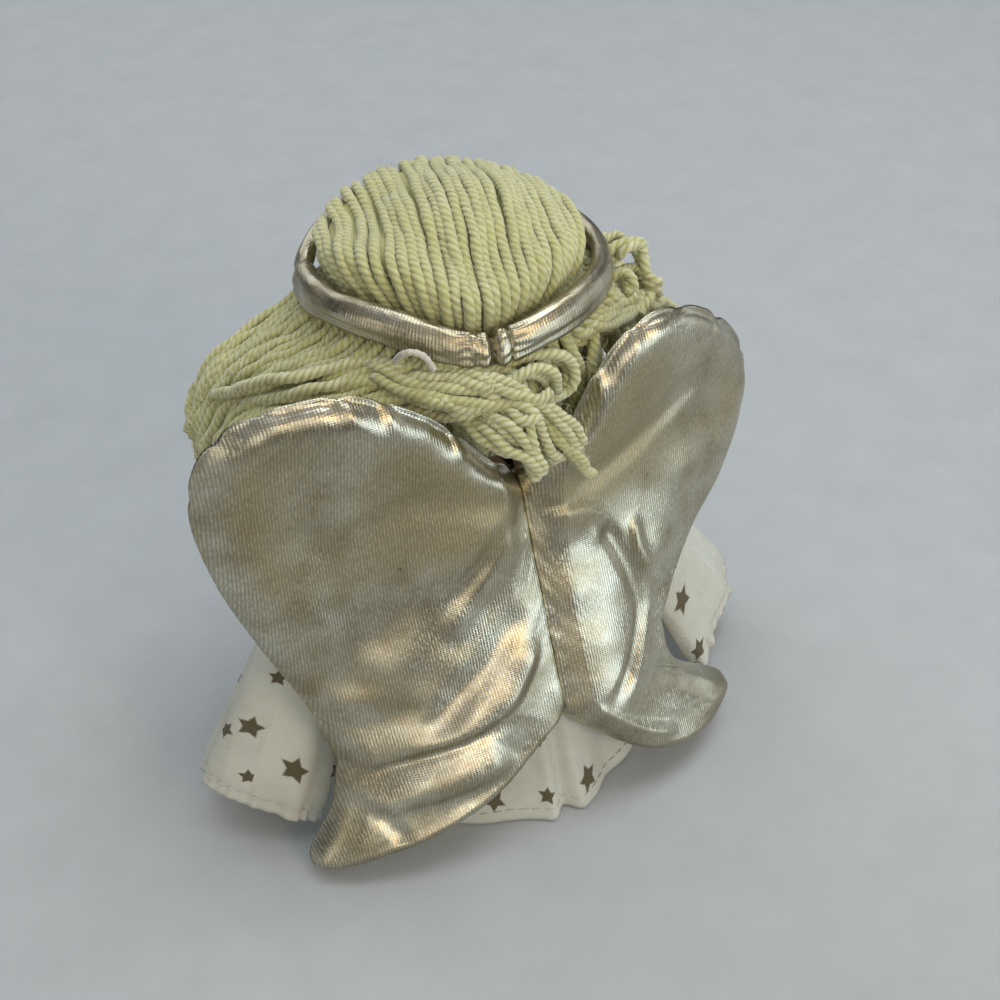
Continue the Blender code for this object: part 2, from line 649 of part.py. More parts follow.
def build_locks(yarn, thread, pivot):
    """The long side locks, and the bunch at the nape with the thread that ties it."""
    for side in (LEFT, RIGHT):
        middle, reach = wig_reach(LOCK_TOP_Z, True)
        top = Vector((reach + CLEAR + LOCK_HALF_THICKNESS * 0.75 + middle.x * side, middle.y, LOCK_TOP_Z))
        path, radii = [], []
        for share, deep in ((0.0, 0.7), (0.2, 0.9), (0.45, 1.0), (0.7, 1.0), (0.9, 0.8), (1.0, 0.5)):
            place = top.lerp(LOCK_TIP, share)
            place.x += LOCK_BULGE * math.sin(math.pi * share)
            path.append(mirrored(place, side))
            radii.append((LOCK_HALF_DEPTH * deep, LOCK_HALF_THICKNESS * (0.6 + 0.4 * deep)))
        add_solid(f"hair_{SIDE_NAMES[side]}_lock", *skin(tube(path, Vector((0, 1, 0)), radii)), yarn, pivot)
    sizes = (0.5, 0.66, 0.8, 0.9, 0.95, 0.75, 1.0, 0.6)
    path = [bunch_point(between(BUNCH_FROM, BUNCH_TO, k / 4), k / 4, sizes[k]) for k in range(5)]
    last = path[-1]
    for share in (0.4, 0.75, 1.0):
        place = last.lerp(BUNCH_ENDS, share)
        place.y += BUNCH_RADIUS * 0.5 * math.sin(math.pi * share)
        path.append(place)
    radii = [(BUNCH_RADIUS * size,) * 2 for size in sizes]
    rings = tube(path, Vector((0, 0.3, 1)), radii)
    add_solid("hair_ponytail", *skin(rings), yarn, pivot)
    waist = (BUNCH_RADIUS * sizes[5] + SEAM_GAP + TIE_RADIUS,) * 2
    loop = tube(path[4:7], Vector((0, 0.3, 1)), [waist] * 3)[1]
    add_solid("hair_tie", *closed_cord(loop, TIE_RADIUS), thread, pivot)


def bunch_point(angle, share, size):
    """A point on the middle of the bunch where it lies against the wig, by its angle from the back."""
    height = BUNCH_Z - BUNCH_SAG * share * share
    middle, _ = wig_reach(height, False)
    half_width, half_depth = wig_half(height)
    away = CLEAR + BUNCH_RADIUS * size
    turned_angle = angle + HEAD_TURN
    place = Vector(((half_width + away) * math.sin(turned_angle), (half_depth + away) * math.cos(turned_angle), 0))
    place.rotate(Matrix.Rotation(HEAD_TURN, 3, "Z"))
    return Vector((middle.x + place.x, middle.y + place.y, height))


def halo_point(angle):
    """A point of the halo's centre line, which rests on the wig. Angle 0 is the back."""
    height = HALO_Z - HALO_DROP * math.cos(angle)
    half_width, half_depth = wig_half(height)
    slope = math.atan((height - HEAD_CENTRE.z) / half_width)
    stand = math.hypot(HALO_HALF_WIDTH * math.cos(slope), HALO_HALF_HEIGHT * math.sin(slope)) + CLEAR
    half_width += stand / math.cos(slope)
    half_depth += stand / math.cos(slope)
    return Vector((half_width * math.sin(angle), HEAD_CENTRE.y + half_depth * math.cos(angle), height))


def build_halo(foil, fill, pivot):
    """The padded foil tube round the crown: its cover, its filling and the gathered join at the back."""
    count = 26
    first, last = HALO_JOIN_HALF_ANGLE, 2 * math.pi - HALO_JOIN_HALF_ANGLE
    path = [halo_point(between(first, last, k / count)) for k in range(count + 1)]

    def hose(inset):
        radii = [(HALO_HALF_HEIGHT - inset, HALO_HALF_WIDTH - inset)] * (count + 1)
        return tube(path, UP, radii, sides=8)

    add_solid("halo_cover", *skin(hose(0.0) + hose(FOIL_CLOTH)[::-1], looped=True), foil, pivot)
    add_solid("halo_filling", *skin(hose(FOIL_CLOTH + SEAM_GAP)), fill, pivot)
    reach = HALO_JOIN_HALF_ANGLE - CLEAR / HEAD_HALF.y
    gathers = (0.75, 0.9, 0.6, 0.9, 0.75)
    places = [halo_point(between(-reach, reach, k / 4)) for k in range(5)]
    radii = [(HALO_HALF_HEIGHT * size, HALO_HALF_WIDTH * size) for size in gathers]
    add_solid("halo_join", *skin(tube(places, UP, radii, sides=8)), foil, pivot)


# Wings

def wing_outline(side):
    """The wing's sewn edge in (s, t), from the foot of the centre seam, up it and round the lobe and the tail."""
    seam = [(WING_INNER_EDGE, between(SEAM_BOTTOM, SEAM_TOP, k / 4)) for k in range(5)]
    points = seam + [(s * MM, t * MM) for s, t in WING_EDGE_MM[side]]
    curve = smooth(points, OUTLINE_STEPS, closed=True)
    return [(max(s, WING_INNER_EDGE), t) for s, t in curve]


def wing_lift(s, t):
    """How far the wing's middle surface stands off the plane of the centre seam."""
    upper = 1 / (1 + math.exp(-t / (8 * MM)))
    wrap = between(1 / (2 * WING_WRAP_LOW), 1 / (2 * WING_WRAP_HIGH), upper)
    bend = math.tan(WING_BEND) * WING_BEND_SOFT * math.log1p(math.exp((t - WING_BEND_AT) / WING_BEND_SOFT))
    curl = TAIL_CURL * max(0.0, (TAIL_CURL_FROM - t) / TAIL_CURL_OVER) ** 2
    away = min(1.0, s / WING_SETS_OFF)
    return -wrap * s * s + bend * away + curl * away


def wing_point(side, s, t, off):
    """A point of the wing, a distance off its middle surface towards the back."""
    return WING_MID + Vector((s * side, 0, 0)) + WING_UP * t + WING_OUT * (wing_lift(s, t) + off)


def puff(share, full):
    """Half thickness at a share of the way from the wing's middle to its sewn edge."""
    return WING_EDGE_HALF + (full - WING_EDGE_HALF) * (1 - share * share) ** 0.6


def wing_face(side, outline, shares, thickness, shrink=1.0):
    """Rings from the edge to the middle of one face of the wing, drawn in by a share where asked."""
    centre_s, centre_t = WING_CENTRE
    rings = []
    for share in shares:
        out = share * shrink
        rings.append([wing_point(side, between(centre_s, s, out), between(centre_t, t, out), thickness(share))
                      for s, t in outline])
    rings.append([wing_point(side, centre_s, centre_t, thickness(0.0))])
    return rings


def build_wing(side, foil, fill):
    """A wing: the back and front panels, sewn edge to edge, and the filling between them."""
    name = SIDE_NAMES[side]
    pivot = add_pivot(f"{name}_wing_pivot", WING_MID)
    outline = wing_outline(side)
    shares = (1.0, 0.9, 0.72, 0.45)
    edge = SEAM_GAP / 2

    def back(share):
        return puff(share, WING_BACK_PUFF)

    def front(share):
        return -puff(share, WING_FRONT_PUFF)

    def back_inside(share):
        return max(back(share) - FOIL_CLOTH, edge)

    def front_inside(share):
        return min(front(share) + FOIL_CLOTH, -edge)

    def pad(near, far, used, shrink=1.0):
        return skin(wing_face(side, outline, used, near, shrink)[::-1] + wing_face(side, outline, used, far, shrink))

    add_solid(f"{name}_wing_back_panel", *pad(back, back_inside, shares), foil, pivot)
    add_solid(f"{name}_wing_front_panel", *pad(front, front_inside, shares), foil, pivot)

    def fill_back(share):
        return back_inside(share) - CLEAR

    def fill_front(share):
        return front_inside(share) + CLEAR

    add_solid(f"{name}_wing_filling", *pad(fill_back, fill_front, shares[1:], FILLING_SHRINK), fill, pivot)


def build_wing_seam(thread):
    """The corded centre seam that both wings are sewn to, and the tape that holds it to the gown."""
    ends = [WING_MID + WING_UP * t for t in (SEAM_BOTTOM, SEAM_TOP)]
    path = [ends[0].lerp(ends[1], k / 6) for k in range(7)]
    rings = tube(path, Vector((1, 0, 0)), [(SEAM_CORD_RADIUS,) * 2] * len(path), sides=8)
    add_solid("wing_seam_cord", *skin(rings), thread)
    path = []
    for k in range(7):
        cord = WING_MID + WING_UP * between(TAPE_BOTTOM, TAPE_TOP, k / 6) - WING_OUT * SEAM_CORD_RADIUS
        gown = gown_point(0.0, cord.z)
        path.append(cord.lerp(gown, 0.5))
    rings = tube(path, Vector((1, 0, 0)), [(TAPE_HALF_WIDTH, TAPE_HALF_THICKNESS)] * len(path), sides=8)
    add_solid("wing_tape", *skin(rings), thread)


def main():
    """Clears the scene and builds the doll."""
    for old in list(bpy.data.objects):
        bpy.data.objects.remove(old)
    muslin = cloth_material("muslin", (0.85, 0.72, 0.60), 0.9)
    skin_cloth = cloth_material("skin_cloth", (0.87, 0.66, 0.53), 0.85)
    cotton = cloth_material("star_cotton", (0.86, 0.83, 0.76), 0.85)
    foil = cloth_material("foil_knit", (0.62, 0.58, 0.48), 0.35, 0.8)
    yarn = cloth_material("yellow_yarn", (0.80, 0.77, 0.43), 0.95)
    fill = cloth_material("fibre_filling", (0.93, 0.93, 0.92), 1.0)
    thread = cloth_material("thread", (0.35, 0.30, 0.20), 0.8)
    dark_thread = cloth_material("dark_thread", (0.03, 0.02, 0.02), 0.6)
    elastic = cloth_material("elastic", (0.90, 0.90, 0.88), 0.7)
    build_body(muslin, fill)
    build_gown(cotton)
    neck_pivot = add_pivot("neck_pivot", NECK_PIVOT)
    head_pivot = add_pivot("head_pivot", NECK_PIVOT, HEAD_TURN)
    build_neck(skin_cloth, neck_pivot)
    build_head(skin_cloth, fill, head_pivot)
    build_face(dark_thread, head_pivot)
    build_wig_cap(yarn, head_pivot)
    build_locks(yarn, thread, neck_pivot)
    build_halo(foil, fill, head_pivot)
    for side in (LEFT, RIGHT):
        build_arm(side, cotton, skin_cloth, elastic)
        build_leg(side, skin_cloth, cotton)
        build_wing(side, foil, fill)
    build_wing_seam(thread)


main()
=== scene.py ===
"""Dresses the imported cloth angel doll: stuffed body, star-print gown, foil-cloth wings and halo, yarn wig.

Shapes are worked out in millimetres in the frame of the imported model, where the doll faces -Y, its left hand
is at +X and it sits on Z = 0, and are turned to metres where a mesh is made.
"""

import logging
import math
from abc import ABC, abstractmethod
from dataclasses import dataclass, field
from enum import Enum
from functools import partial
from typing import Callable, Mapping, Optional, Sequence

import bmesh
import bpy
import numpy as np
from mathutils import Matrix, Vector


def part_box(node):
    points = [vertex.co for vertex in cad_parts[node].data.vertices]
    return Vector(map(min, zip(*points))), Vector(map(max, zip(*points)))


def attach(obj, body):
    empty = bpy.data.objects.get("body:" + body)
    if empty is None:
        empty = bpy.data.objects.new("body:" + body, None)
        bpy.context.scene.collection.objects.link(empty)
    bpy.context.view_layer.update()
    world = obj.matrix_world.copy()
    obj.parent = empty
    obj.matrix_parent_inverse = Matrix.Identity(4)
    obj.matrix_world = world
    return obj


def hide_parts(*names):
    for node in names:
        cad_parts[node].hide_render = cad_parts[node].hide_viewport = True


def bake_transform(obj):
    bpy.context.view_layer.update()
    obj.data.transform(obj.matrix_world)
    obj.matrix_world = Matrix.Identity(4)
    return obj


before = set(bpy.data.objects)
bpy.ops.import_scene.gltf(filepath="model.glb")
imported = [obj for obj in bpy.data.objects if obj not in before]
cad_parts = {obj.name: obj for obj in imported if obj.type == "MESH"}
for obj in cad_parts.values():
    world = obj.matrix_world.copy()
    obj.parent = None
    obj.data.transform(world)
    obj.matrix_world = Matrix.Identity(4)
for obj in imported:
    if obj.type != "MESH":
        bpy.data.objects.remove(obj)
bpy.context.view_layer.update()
log = logging.getLogger("angel_doll")

MM = 0.001
UV_NAME = "millimetres"
TURN = 2 * math.pi
UP = np.array((0.0, 0.0, 1.0))

Array = np.ndarray
Pair = tuple[float, float]
Triple = tuple[float, float, float]
Piece = bpy.types.Object
Socket = bpy.types.NodeSocket
Material = bpy.types.Material
AddNode = Callable[..., Socket]


class Side(Enum):
    """The doll's own left and right."""

    LEFT = 1
    RIGHT = -1

    @property
    def word(self) -> str:
        """The side as it stands in the names of nodes and bodies."""
        return self.name.lower()


class Hold(Enum):
    """How a sheet of cloth is held."""

    GATHERED = "gathered"


# Small shape helpers


def unit(rows: Array) -> Array:
    """Vectors along the last axis, scaled to length 1."""
    return rows / np.maximum(np.linalg.norm(rows, axis=-1, keepdims=True), 1e-12)


def ease(low: float, high: float, value: Array) -> Array:
    """Shares that rise smoothly from 0 at low to 1 at high, or fall where low is the larger."""
    share = np.clip((np.asarray(value, float) - low) / (high - low), 0.0, 1.0)
    return share * share * (3 - 2 * share)


def bell(share: Array) -> Array:
    """A bump that is 1 at 0, about a third at 1 and nearly gone at 2."""
    return np.exp(-(share**2))


def blunt(wave: Array, power: float) -> Array:
    """A wave between -1 and 1 with its tops made flatter by a power below 1."""
    return np.sign(wave) * np.abs(wave) ** power


def round_angles(count: int) -> Array:
    """So many angles, evenly round a circle."""
    return np.linspace(0, TURN, count, endpoint=False)


def stacked(*parts: Array) -> Array:
    """Points from their coordinates, whose shapes need only fit each other."""
    return np.stack(np.broadcast_arrays(*parts), -1)


def looped(ring: Array) -> Array:
    """A ring with its first point again at its end."""
    return np.concatenate((ring, ring[:1]))


def quads(table: Array) -> Array:
    """The four corners of each cell of a table."""
    cells = np.stack((table[:-1, :-1], table[:-1, 1:], table[1:, 1:], table[1:, :-1]), 2)
    return cells.reshape(-1, 4, *table.shape[2:])


def run_of(path: Array) -> Array:
    """How far along a path each of its points lies."""
    return np.concatenate(([0.0], np.cumsum(np.linalg.norm(np.diff(path, axis=0), axis=1))))


def swept(path: Array, across: Array, third: Array, wide: Array, deep: Array) -> Array:
    """Rings of points round a path, so far out along two directions across it at each of its points."""
    return path[:, None] + across[:, None] * wide[..., None] + third[:, None] * deep[..., None]


def ripple(seed: int, *places: Array, waves: int = 7) -> Array:
    """Smooth unevenness, the same at each run, as a sum of waves in fixed directions.

    Args:
        seed: Picks the set of waves.
        places: Coordinates, already divided by the size of the unevenness.
        waves: How many waves are summed.

    Returns:
        Values around 0, mostly within 1.5.
    """
    draw = np.random.default_rng(seed)
    total = np.zeros(np.broadcast(*places).shape)
    for _ in range(waves):
        directions = draw.normal(size=len(places)) * 2.2
        total = total + np.sin(sum(p * d for p, d in zip(places, directions)) + draw.uniform(0, TURN))
    return total / math.sqrt(waves / 2)


def even_steps(path: Array, step: float) -> Array:
    """Spaces the points of a path evenly.

    Args:
        path: Points of the path.
        step: Distance between the new points.

    Returns:
        Points on the same path.
    """
    along = run_of(path)
    count = max(int(round(along[-1] / step)), 3)
    places = np.linspace(0, along[-1], count + 1)
    return np.stack([np.interp(places, along, path[:, axis]) for axis in range(path.shape[1])], 1)


def curve_through(points: Sequence[Sequence[float]], step: float, closed: bool = False) -> Array:
    """A smooth curve through points.

    Args:
        points: Points that the curve passes.
        step: Distance between the points of the result.
        closed: Whether the curve runs back to its start, whose point is then repeated at the end.

    Returns:
        Evenly spaced points.
    """
    knots = np.array(points, float)
    if closed:
        knots = np.concatenate((knots[-1:], knots, knots[:2]))
    else:
        knots = np.concatenate((2 * knots[:1] - knots[1:2], knots, 2 * knots[-1:] - knots[-2:-1]))
    t = np.linspace(0, 1, 12, endpoint=False)[:, None]
    spans = []
    for a, b, c, d in zip(knots, knots[1:], knots[2:], knots[3:]):
        spans.append(0.5 * (2 * b + (c - a) * t + (2 * a - 5 * b + 4 * c - d) * t**2
                            + (3 * b - a - 3 * c + d) * t**3))
    spans.append(knots[-2][None])
    return even_steps(np.concatenate(spans), step)


def cross_directions(path: Array, first: Array) -> tuple[Array, Array]:
    """Two directions square to a path at each point, which turn about it as little as possible.

    Args:
        path: Points of the path.
        first: Roughly the first direction at the start.

    Returns:
        The first and the second directions.
    """
    along = unit(np.gradient(path, axis=0))
    sides = np.empty_like(path)
    side = np.asarray(first, float)
    for k, ahead in enumerate(along):
        side = side - side @ ahead * ahead
        side = side / max(np.linalg.norm(side), 1e-9)
        sides[k] = side
    return sides, np.cross(along, sides)


def line_distance(places: Array, line: Array) -> tuple[Array, Array, Array]:
    """How far places in a plane lie from a line of short pieces.

    Args:
        places: Points (n, 2).
        line: Points of the line (m, 2).

    Returns:
        Distance of each place, share of the line's length at its nearest point, and the signed distance,
        which is above 0 on the left of the line's direction.
    """
    start, span = line[:-1], np.diff(line, axis=0)
    length = np.linalg.norm(span, axis=1)
    offset = places[:, None] - start
    share = np.clip((offset * span).sum(-1) / (length**2), 0, 1)
    gap = offset - share[..., None] * span
    far = np.linalg.norm(gap, axis=-1)
    best = far.argmin(1)
    rows = np.arange(len(places))
    along = (np.concatenate(([0.0], np.cumsum(length)))[best]
             + share[rows, best] * length[best]) / length.sum()
    near = gap[rows, best]
    turn = span[best, 0] * near[:, 1] - span[best, 1] * near[:, 0]
    return far[rows, best], along, np.sign(turn) * far[rows, best]


class MeshMaker:
    """Collects closed forms of points, in millimetres, into one mesh with a map in millimetres."""

    def __init__(self) -> None:
        """Starts with nothing in it."""
        self.points: list[Array] = []
        self.faces: list[tuple[Array, Array]] = []
        self.values: dict[str, list[Array]] = {}
        self.count = 0

    def add_points(self, points: Array, **values: Array) -> int:
        """Adds loose points.

        Args:
            points: Places (n, 3).
            values: Named numbers, one for each point, that a finish reads.

        Returns:
            The number of the first one.
        """
        first = self.count
        self.points.append(points.reshape(-1, 3))
        self.count += len(self.points[-1])
        for name in set(self.values) | set(values):
            kept = self.values.setdefault(name, [np.zeros(first)] if first else [])
            kept.append(np.broadcast_to(values.get(name, 0.0), (self.count - first,)).astype(float))
        return first

    def add_faces(self, corners: Array, places: Array) -> None:
        """Adds faces of one size by their point numbers (n, corners) and map places (n, corners, 2)."""
        self.faces.append((corners, places))

    def add_rings(self, grid: Array, places: Array, capped: bool = True, **values: Array) -> None:
        """Adds a surface from rings of points.

        Args:
            grid: Points (rings, columns, 3).
            places: Map places (rings, columns + 1, 2).
            capped: Whether the first and the last ring are each closed by a point in its middle.
            values: Named numbers (rings, columns) that a finish reads.
        """
        rings, columns = grid.shape[:2]
        first = self.add_points(grid, **{name: value.ravel() for name, value in values.items()})
        index = first + np.arange(rings * columns).reshape(rings, columns)
        index = np.hstack((index, index[:, :1]))
        self.add_faces(quads(index), quads(places))
        for row in (0, rings - 1) if capped else ():
            middle = self.add_points(grid[row].mean(0)[None], **{n: v[row].mean() for n, v in values.items()})
            ring, spots = index[row], places[row]
            centre = np.broadcast_to(spots.mean(0), (columns, 2))
            fan = np.stack((ring[:-1], ring[1:], np.full(columns, middle)), 1)
            self.add_faces(fan if row else fan[:, ::-1], np.stack((spots[:-1], spots[1:], centre), 1))

    def add_tube(self, path: Array, wide: Array, first: Array, deep: Optional[Array] = None,
                 sides: int = 12, shift: float = 0.0, **values: Array) -> None:
        """Adds a closed tube along a path.

        Args:
            path: Points of its middle line.
            wide: Half width, for all points or at each one.
            first: Roughly the wide direction.
            deep: Half depth, where it differs.
            sides: Points round it.
            shift: Added to its place on the map, so that tubes differ.
            values: Named numbers for each point of the path that a finish reads.
        """
        wide = np.broadcast_to(wide, len(path))
        deep = wide if deep is None else np.broadcast_to(deep, len(path))
        angle = round_angles(sides)
        grid = swept(path, *cross_directions(path, first), wide[:, None] * np.cos(angle),
                     deep[:, None] * np.sin(angle))
        round_it = TURN * float(np.mean(wide + deep)) / 2
        places = stacked(np.linspace(0, round_it, sides + 1)[None] + shift, run_of(path)[:, None])
        shared = {name: np.broadcast_to(value[:, None], grid.shape[:2]) for name, value in values.items()}
        self.add_rings(grid, places, **shared)

    def add_stitches(self, path: Array, off: Array, stitch: float = 1.9, gap: float = 0.75,
                     radius: float = 0.17) -> None:
        """Adds a row of running stitches along a path on the cloth.

        Args:
            path: Points on the cloth.
            off: The direction off the cloth at each point.
            stitch: Length of a stitch.
            gap: Gap between two stitches.
            radius: Half the thread's thickness.
        """
        step = 0.25
        joined = even_steps(np.hstack((path, off)), step)
        line, lift = joined[:, :3], unit(joined[:, 3:])
        long, pause = int(stitch / step), int(gap / step)
        bow = np.sin(np.linspace(0, math.pi, long + 1))
        for number, start in enumerate(range(0, len(line) - long, long + pause)):
            part = slice(start, start + long + 1)
            raised = line[part] + lift[part] * (bow**0.5 * radius)[:, None]
            self.add_tube(raised, radius * (0.55 + 0.45 * bow), lift[start], sides=6, shift=number * 0.37)

    def to_object(self, name: str, material: Material) -> Piece:
        """Makes the mesh, with its faces turned outwards, and puts it in the scene.

        Args:
            name: The piece's name.
            material: Its finish.

        Returns:
            The new object.
        """
        mesh = bpy.data.meshes.new(name)
        points = np.concatenate(self.points) * MM
        corners = np.concatenate([c.ravel() for c, _ in self.faces])
        places = np.concatenate([p.reshape(-1, 2) for _, p in self.faces])
        sizes = np.concatenate([np.full(len(c), c.shape[1]) for c, _ in self.faces])
        mesh.vertices.add(len(points))
        mesh.vertices.foreach_set("co", points.astype(np.float32).ravel())
        mesh.loops.add(len(corners))
        mesh.loops.foreach_set("vertex_index", corners.astype(np.int32))
        mesh.polygons.add(len(sizes))
        mesh.polygons.foreach_set("loop_start", np.concatenate(([0], np.cumsum(sizes)[:-1])).astype(np.int32))
        mesh.uv_layers.new(name=UV_NAME).data.foreach_set("uv", places.astype(np.float32).ravel())
        for label, parts in self.values.items():
            kept = mesh.attributes.new(label, "FLOAT", "POINT")
            kept.data.foreach_set("value", np.concatenate(parts).astype(np.float32))
        mesh.update(calc_edges=True)
        mesh.validate()
        shape = bmesh.new()
        shape.from_mesh(mesh)
        bmesh.ops.recalc_face_normals(shape, faces=shape.faces)
        shape.to_mesh(mesh)
        shape.free()
        mesh.shade_smooth()
        mesh.materials.append(material)
        made = bpy.data.objects.new(name, mesh)
        bpy.context.scene.collection.objects.link(made)
        return made


def settle(maker: MeshMaker, name: str, material: Material, body: str, slot: str, *nodes: str,
           fill: float = 0.0, drapes_on: str = "") -> Piece:
    """Makes a piece, sets it on its body unless it drapes, and hides the solids that it stands for.

    Args:
        maker: The piece's mesh.
        name: Its name.
        material: Its finish.
        body: The body that it moves with.
        slot: The record's material slot; not used.
        nodes: The solids that it replaces.
        fill: How full it is, where it is padded; not used.
        drapes_on: For hair that lies still while the head turns, a body's name; if given, the piece stays
            fixed where it is, on no body.

    Returns:
        The piece.
    """
    piece = maker.to_object(name, material)
    if drapes_on:
        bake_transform(piece)
    else:
        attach(piece, body)
    if nodes:
        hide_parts(*nodes)
    return piece


# Finishes


def linear(code: str) -> tuple[float, float, float, float]:
    """Turns an sRGB hex value to linear colour.

    Args:
        code: Six hex digits, with or without a leading mark.

    Returns:
        Red, green, blue and 1.
    """
    digits = code.lstrip("#")
    shares = [int(digits[k:k + 2], 16) / 255 for k in (0, 2, 4)]
    red, green, blue = (s / 12.92 if s <= 0.04045 else ((s + 0.055) / 1.055) ** 2.4 for s in shares)
    return red, green, blue, 1.0


def add_node(tree: bpy.types.NodeTree, kind: str, links: Optional[Mapping] = None, out: int | str = 0,
             **settings: object) -> Optional[Socket]:
    """Adds a shader node with its settings and links.

    Args:
        tree: The node tree that it joins.
        kind: The node's type, without the prefix that all of them share.
        links: For an input's name or number, the socket that feeds it or its value.
        out: The name or number of the output that is wanted.
        settings: The node's own settings.

    Returns:
        That output, or None for a node without outputs.
    """
    node = tree.nodes.new("ShaderNode" + kind)
    for name, value in settings.items():
        setattr(node, name, value)
    for key, value in (links or {}).items():
        if isinstance(value, Socket):
            tree.links.new(value, node.inputs[key])
        else:
            node.inputs[key].default_value = value
    return node.outputs[out] if len(node.outputs) else None


COLOURS = {"out": 2, "data_type": "RGBA"}   # for a Mix node that mixes colours


def stripes_per(period_mm: float) -> float:
    """The wave texture's scale that gives one stripe in so many millimetres of the map."""
    return math.pi / 10 / period_mm


@dataclass(frozen=True)
class Finish(ABC):
    """A material named for what it is and how it was made."""

    name: str

    @abstractmethod
    def shade(self, add: AddNode) -> Socket:
        """Adds the finish's nodes.

        Args:
            add: Adds a node to the material's tree.

        Returns:
            The surface.
        """

    def make(self) -> Material:
        """Makes the material.

        Returns:
            The new material.
        """
        material = bpy.data.materials.new(self.name)
        material.use_nodes = True
        material.node_tree.nodes.clear()
        add = partial(add_node, material.node_tree)
        add("OutputMaterial", {"Surface": self.shade(add)})
        return material


@dataclass(frozen=True)
class FoilKnit(Finish):
    """Champagne foil pressed on a fine warp knit: a soft metal sheen over ribs, duller where rubbed."""

    bright: str = "DAD5C0"
    dull: str = "A79C7E"
    rubbed: str = "A39875"
    speck: str = "3A3428"
    rib_mm: float = 0.52            # wales of the knit
    course_mm: float = 0.40
    cloud_mm: float = 9.0
    speck_mm: float = 13.0
    roughness: Pair = (0.27, 0.35)

    def shade(self, add: AddNode) -> Socket:
        """Adds ribs with painted shade and painted glints, clouds of wear and a few specks over a metal.

        Args:
            add: Adds a node to the material's tree.

        Returns:
            The surface.
        """
        place = add("UVMap", uv_map=UV_NAME)
        knit = {"Vector": place, "Detail": 2.0, "Detail Scale": 1.1}
        ribs = add("TexWave", {**knit, "Scale": stripes_per(self.rib_mm), "Distortion": 1.4}, "Fac",
                   bands_direction="X")
        rows = add("TexWave", {**knit, "Scale": stripes_per(self.course_mm), "Distortion": 1.6}, "Fac",
                   bands_direction="Y")
        clouds = add("TexNoise", {"Vector": place, "Scale": 1 / self.cloud_mm, "Detail": 4.0,
                                  "Roughness": 0.6})
        drawn = add("Mapping", {"Vector": place, "Scale": (1.0, 0.4, 1.0)})
        grain = add("TexNoise", {"Vector": drawn, "Scale": 2.6, "Detail": 3.0})
        worn = add("Attribute", out="Fac", attribute_name="worn")
        patchy = add("MapRange", {0: clouds, 1: 0.35, 2: 0.65, 3: 0.75, 4: 1.15})
        rubbing = add("Math", {0: worn, 1: patchy}, operation="MULTIPLY", use_clamp=True)
        mottle = add("MapRange", {0: clouds, 1: 0.3, 2: 0.7})
        metal = add("Mix", {"Factor": mottle, 6: linear(self.dull), 7: linear(self.bright)}, **COLOURS)
        foil = add("Mix", {"Factor": rubbing, 6: metal, 7: linear(self.rubbed)}, **COLOURS)
        broken = add("MapRange", {0: grain, 1: 0.35, 2: 0.65, 3: 0.15, 4: 1.0})
        wales = add("Math", {0: ribs, 1: broken}, operation="MULTIPLY")
        dashes = add("Math", {0: rows, 1: 0.25, 2: wales}, operation="MULTIPLY_ADD")
        # painted shade in the rib hollows and painted glints on the rib tops, from the bump's own heights
        thread = add("MapRange", {0: dashes, 1: 0.0, 2: 1.1, 3: 0.62, 4: 1.17})
        shaded = add("Mix", {"Factor": 1.0, 6: foil, 7: thread}, **COLOURS, blend_type="MULTIPLY")
        cells = add("TexVoronoi", {"Vector": place, "Scale": 1 / self.speck_mm}, "Distance")
        specked = add("MapRange", {0: cells, 1: 0.018, 2: 0.03, 3: 0.75, 4: 0.0})
        colour = add("Mix", {"Factor": specked, 6: shaded, 7: linear(self.speck)}, **COLOURS)
        metallic = add("MapRange", {0: rubbing, 3: 1.0, 4: 0.5})
        smooth, rough = self.roughness
        patch = add("MapRange", {0: clouds, 1: 0.3, 2: 0.7, 3: rough, 4: smooth})
        roughness = add("Math", {0: rubbing, 1: 0.22, 2: patch}, operation="MULTIPLY_ADD")
        bump = add("Bump", {"Height": dashes, "Strength": 0.8, "Distance": 0.04 * MM})
        return add("BsdfPrincipled", {"Base Color": colour, "Metallic": metallic, "Roughness": roughness,
                                      "Normal": bump})


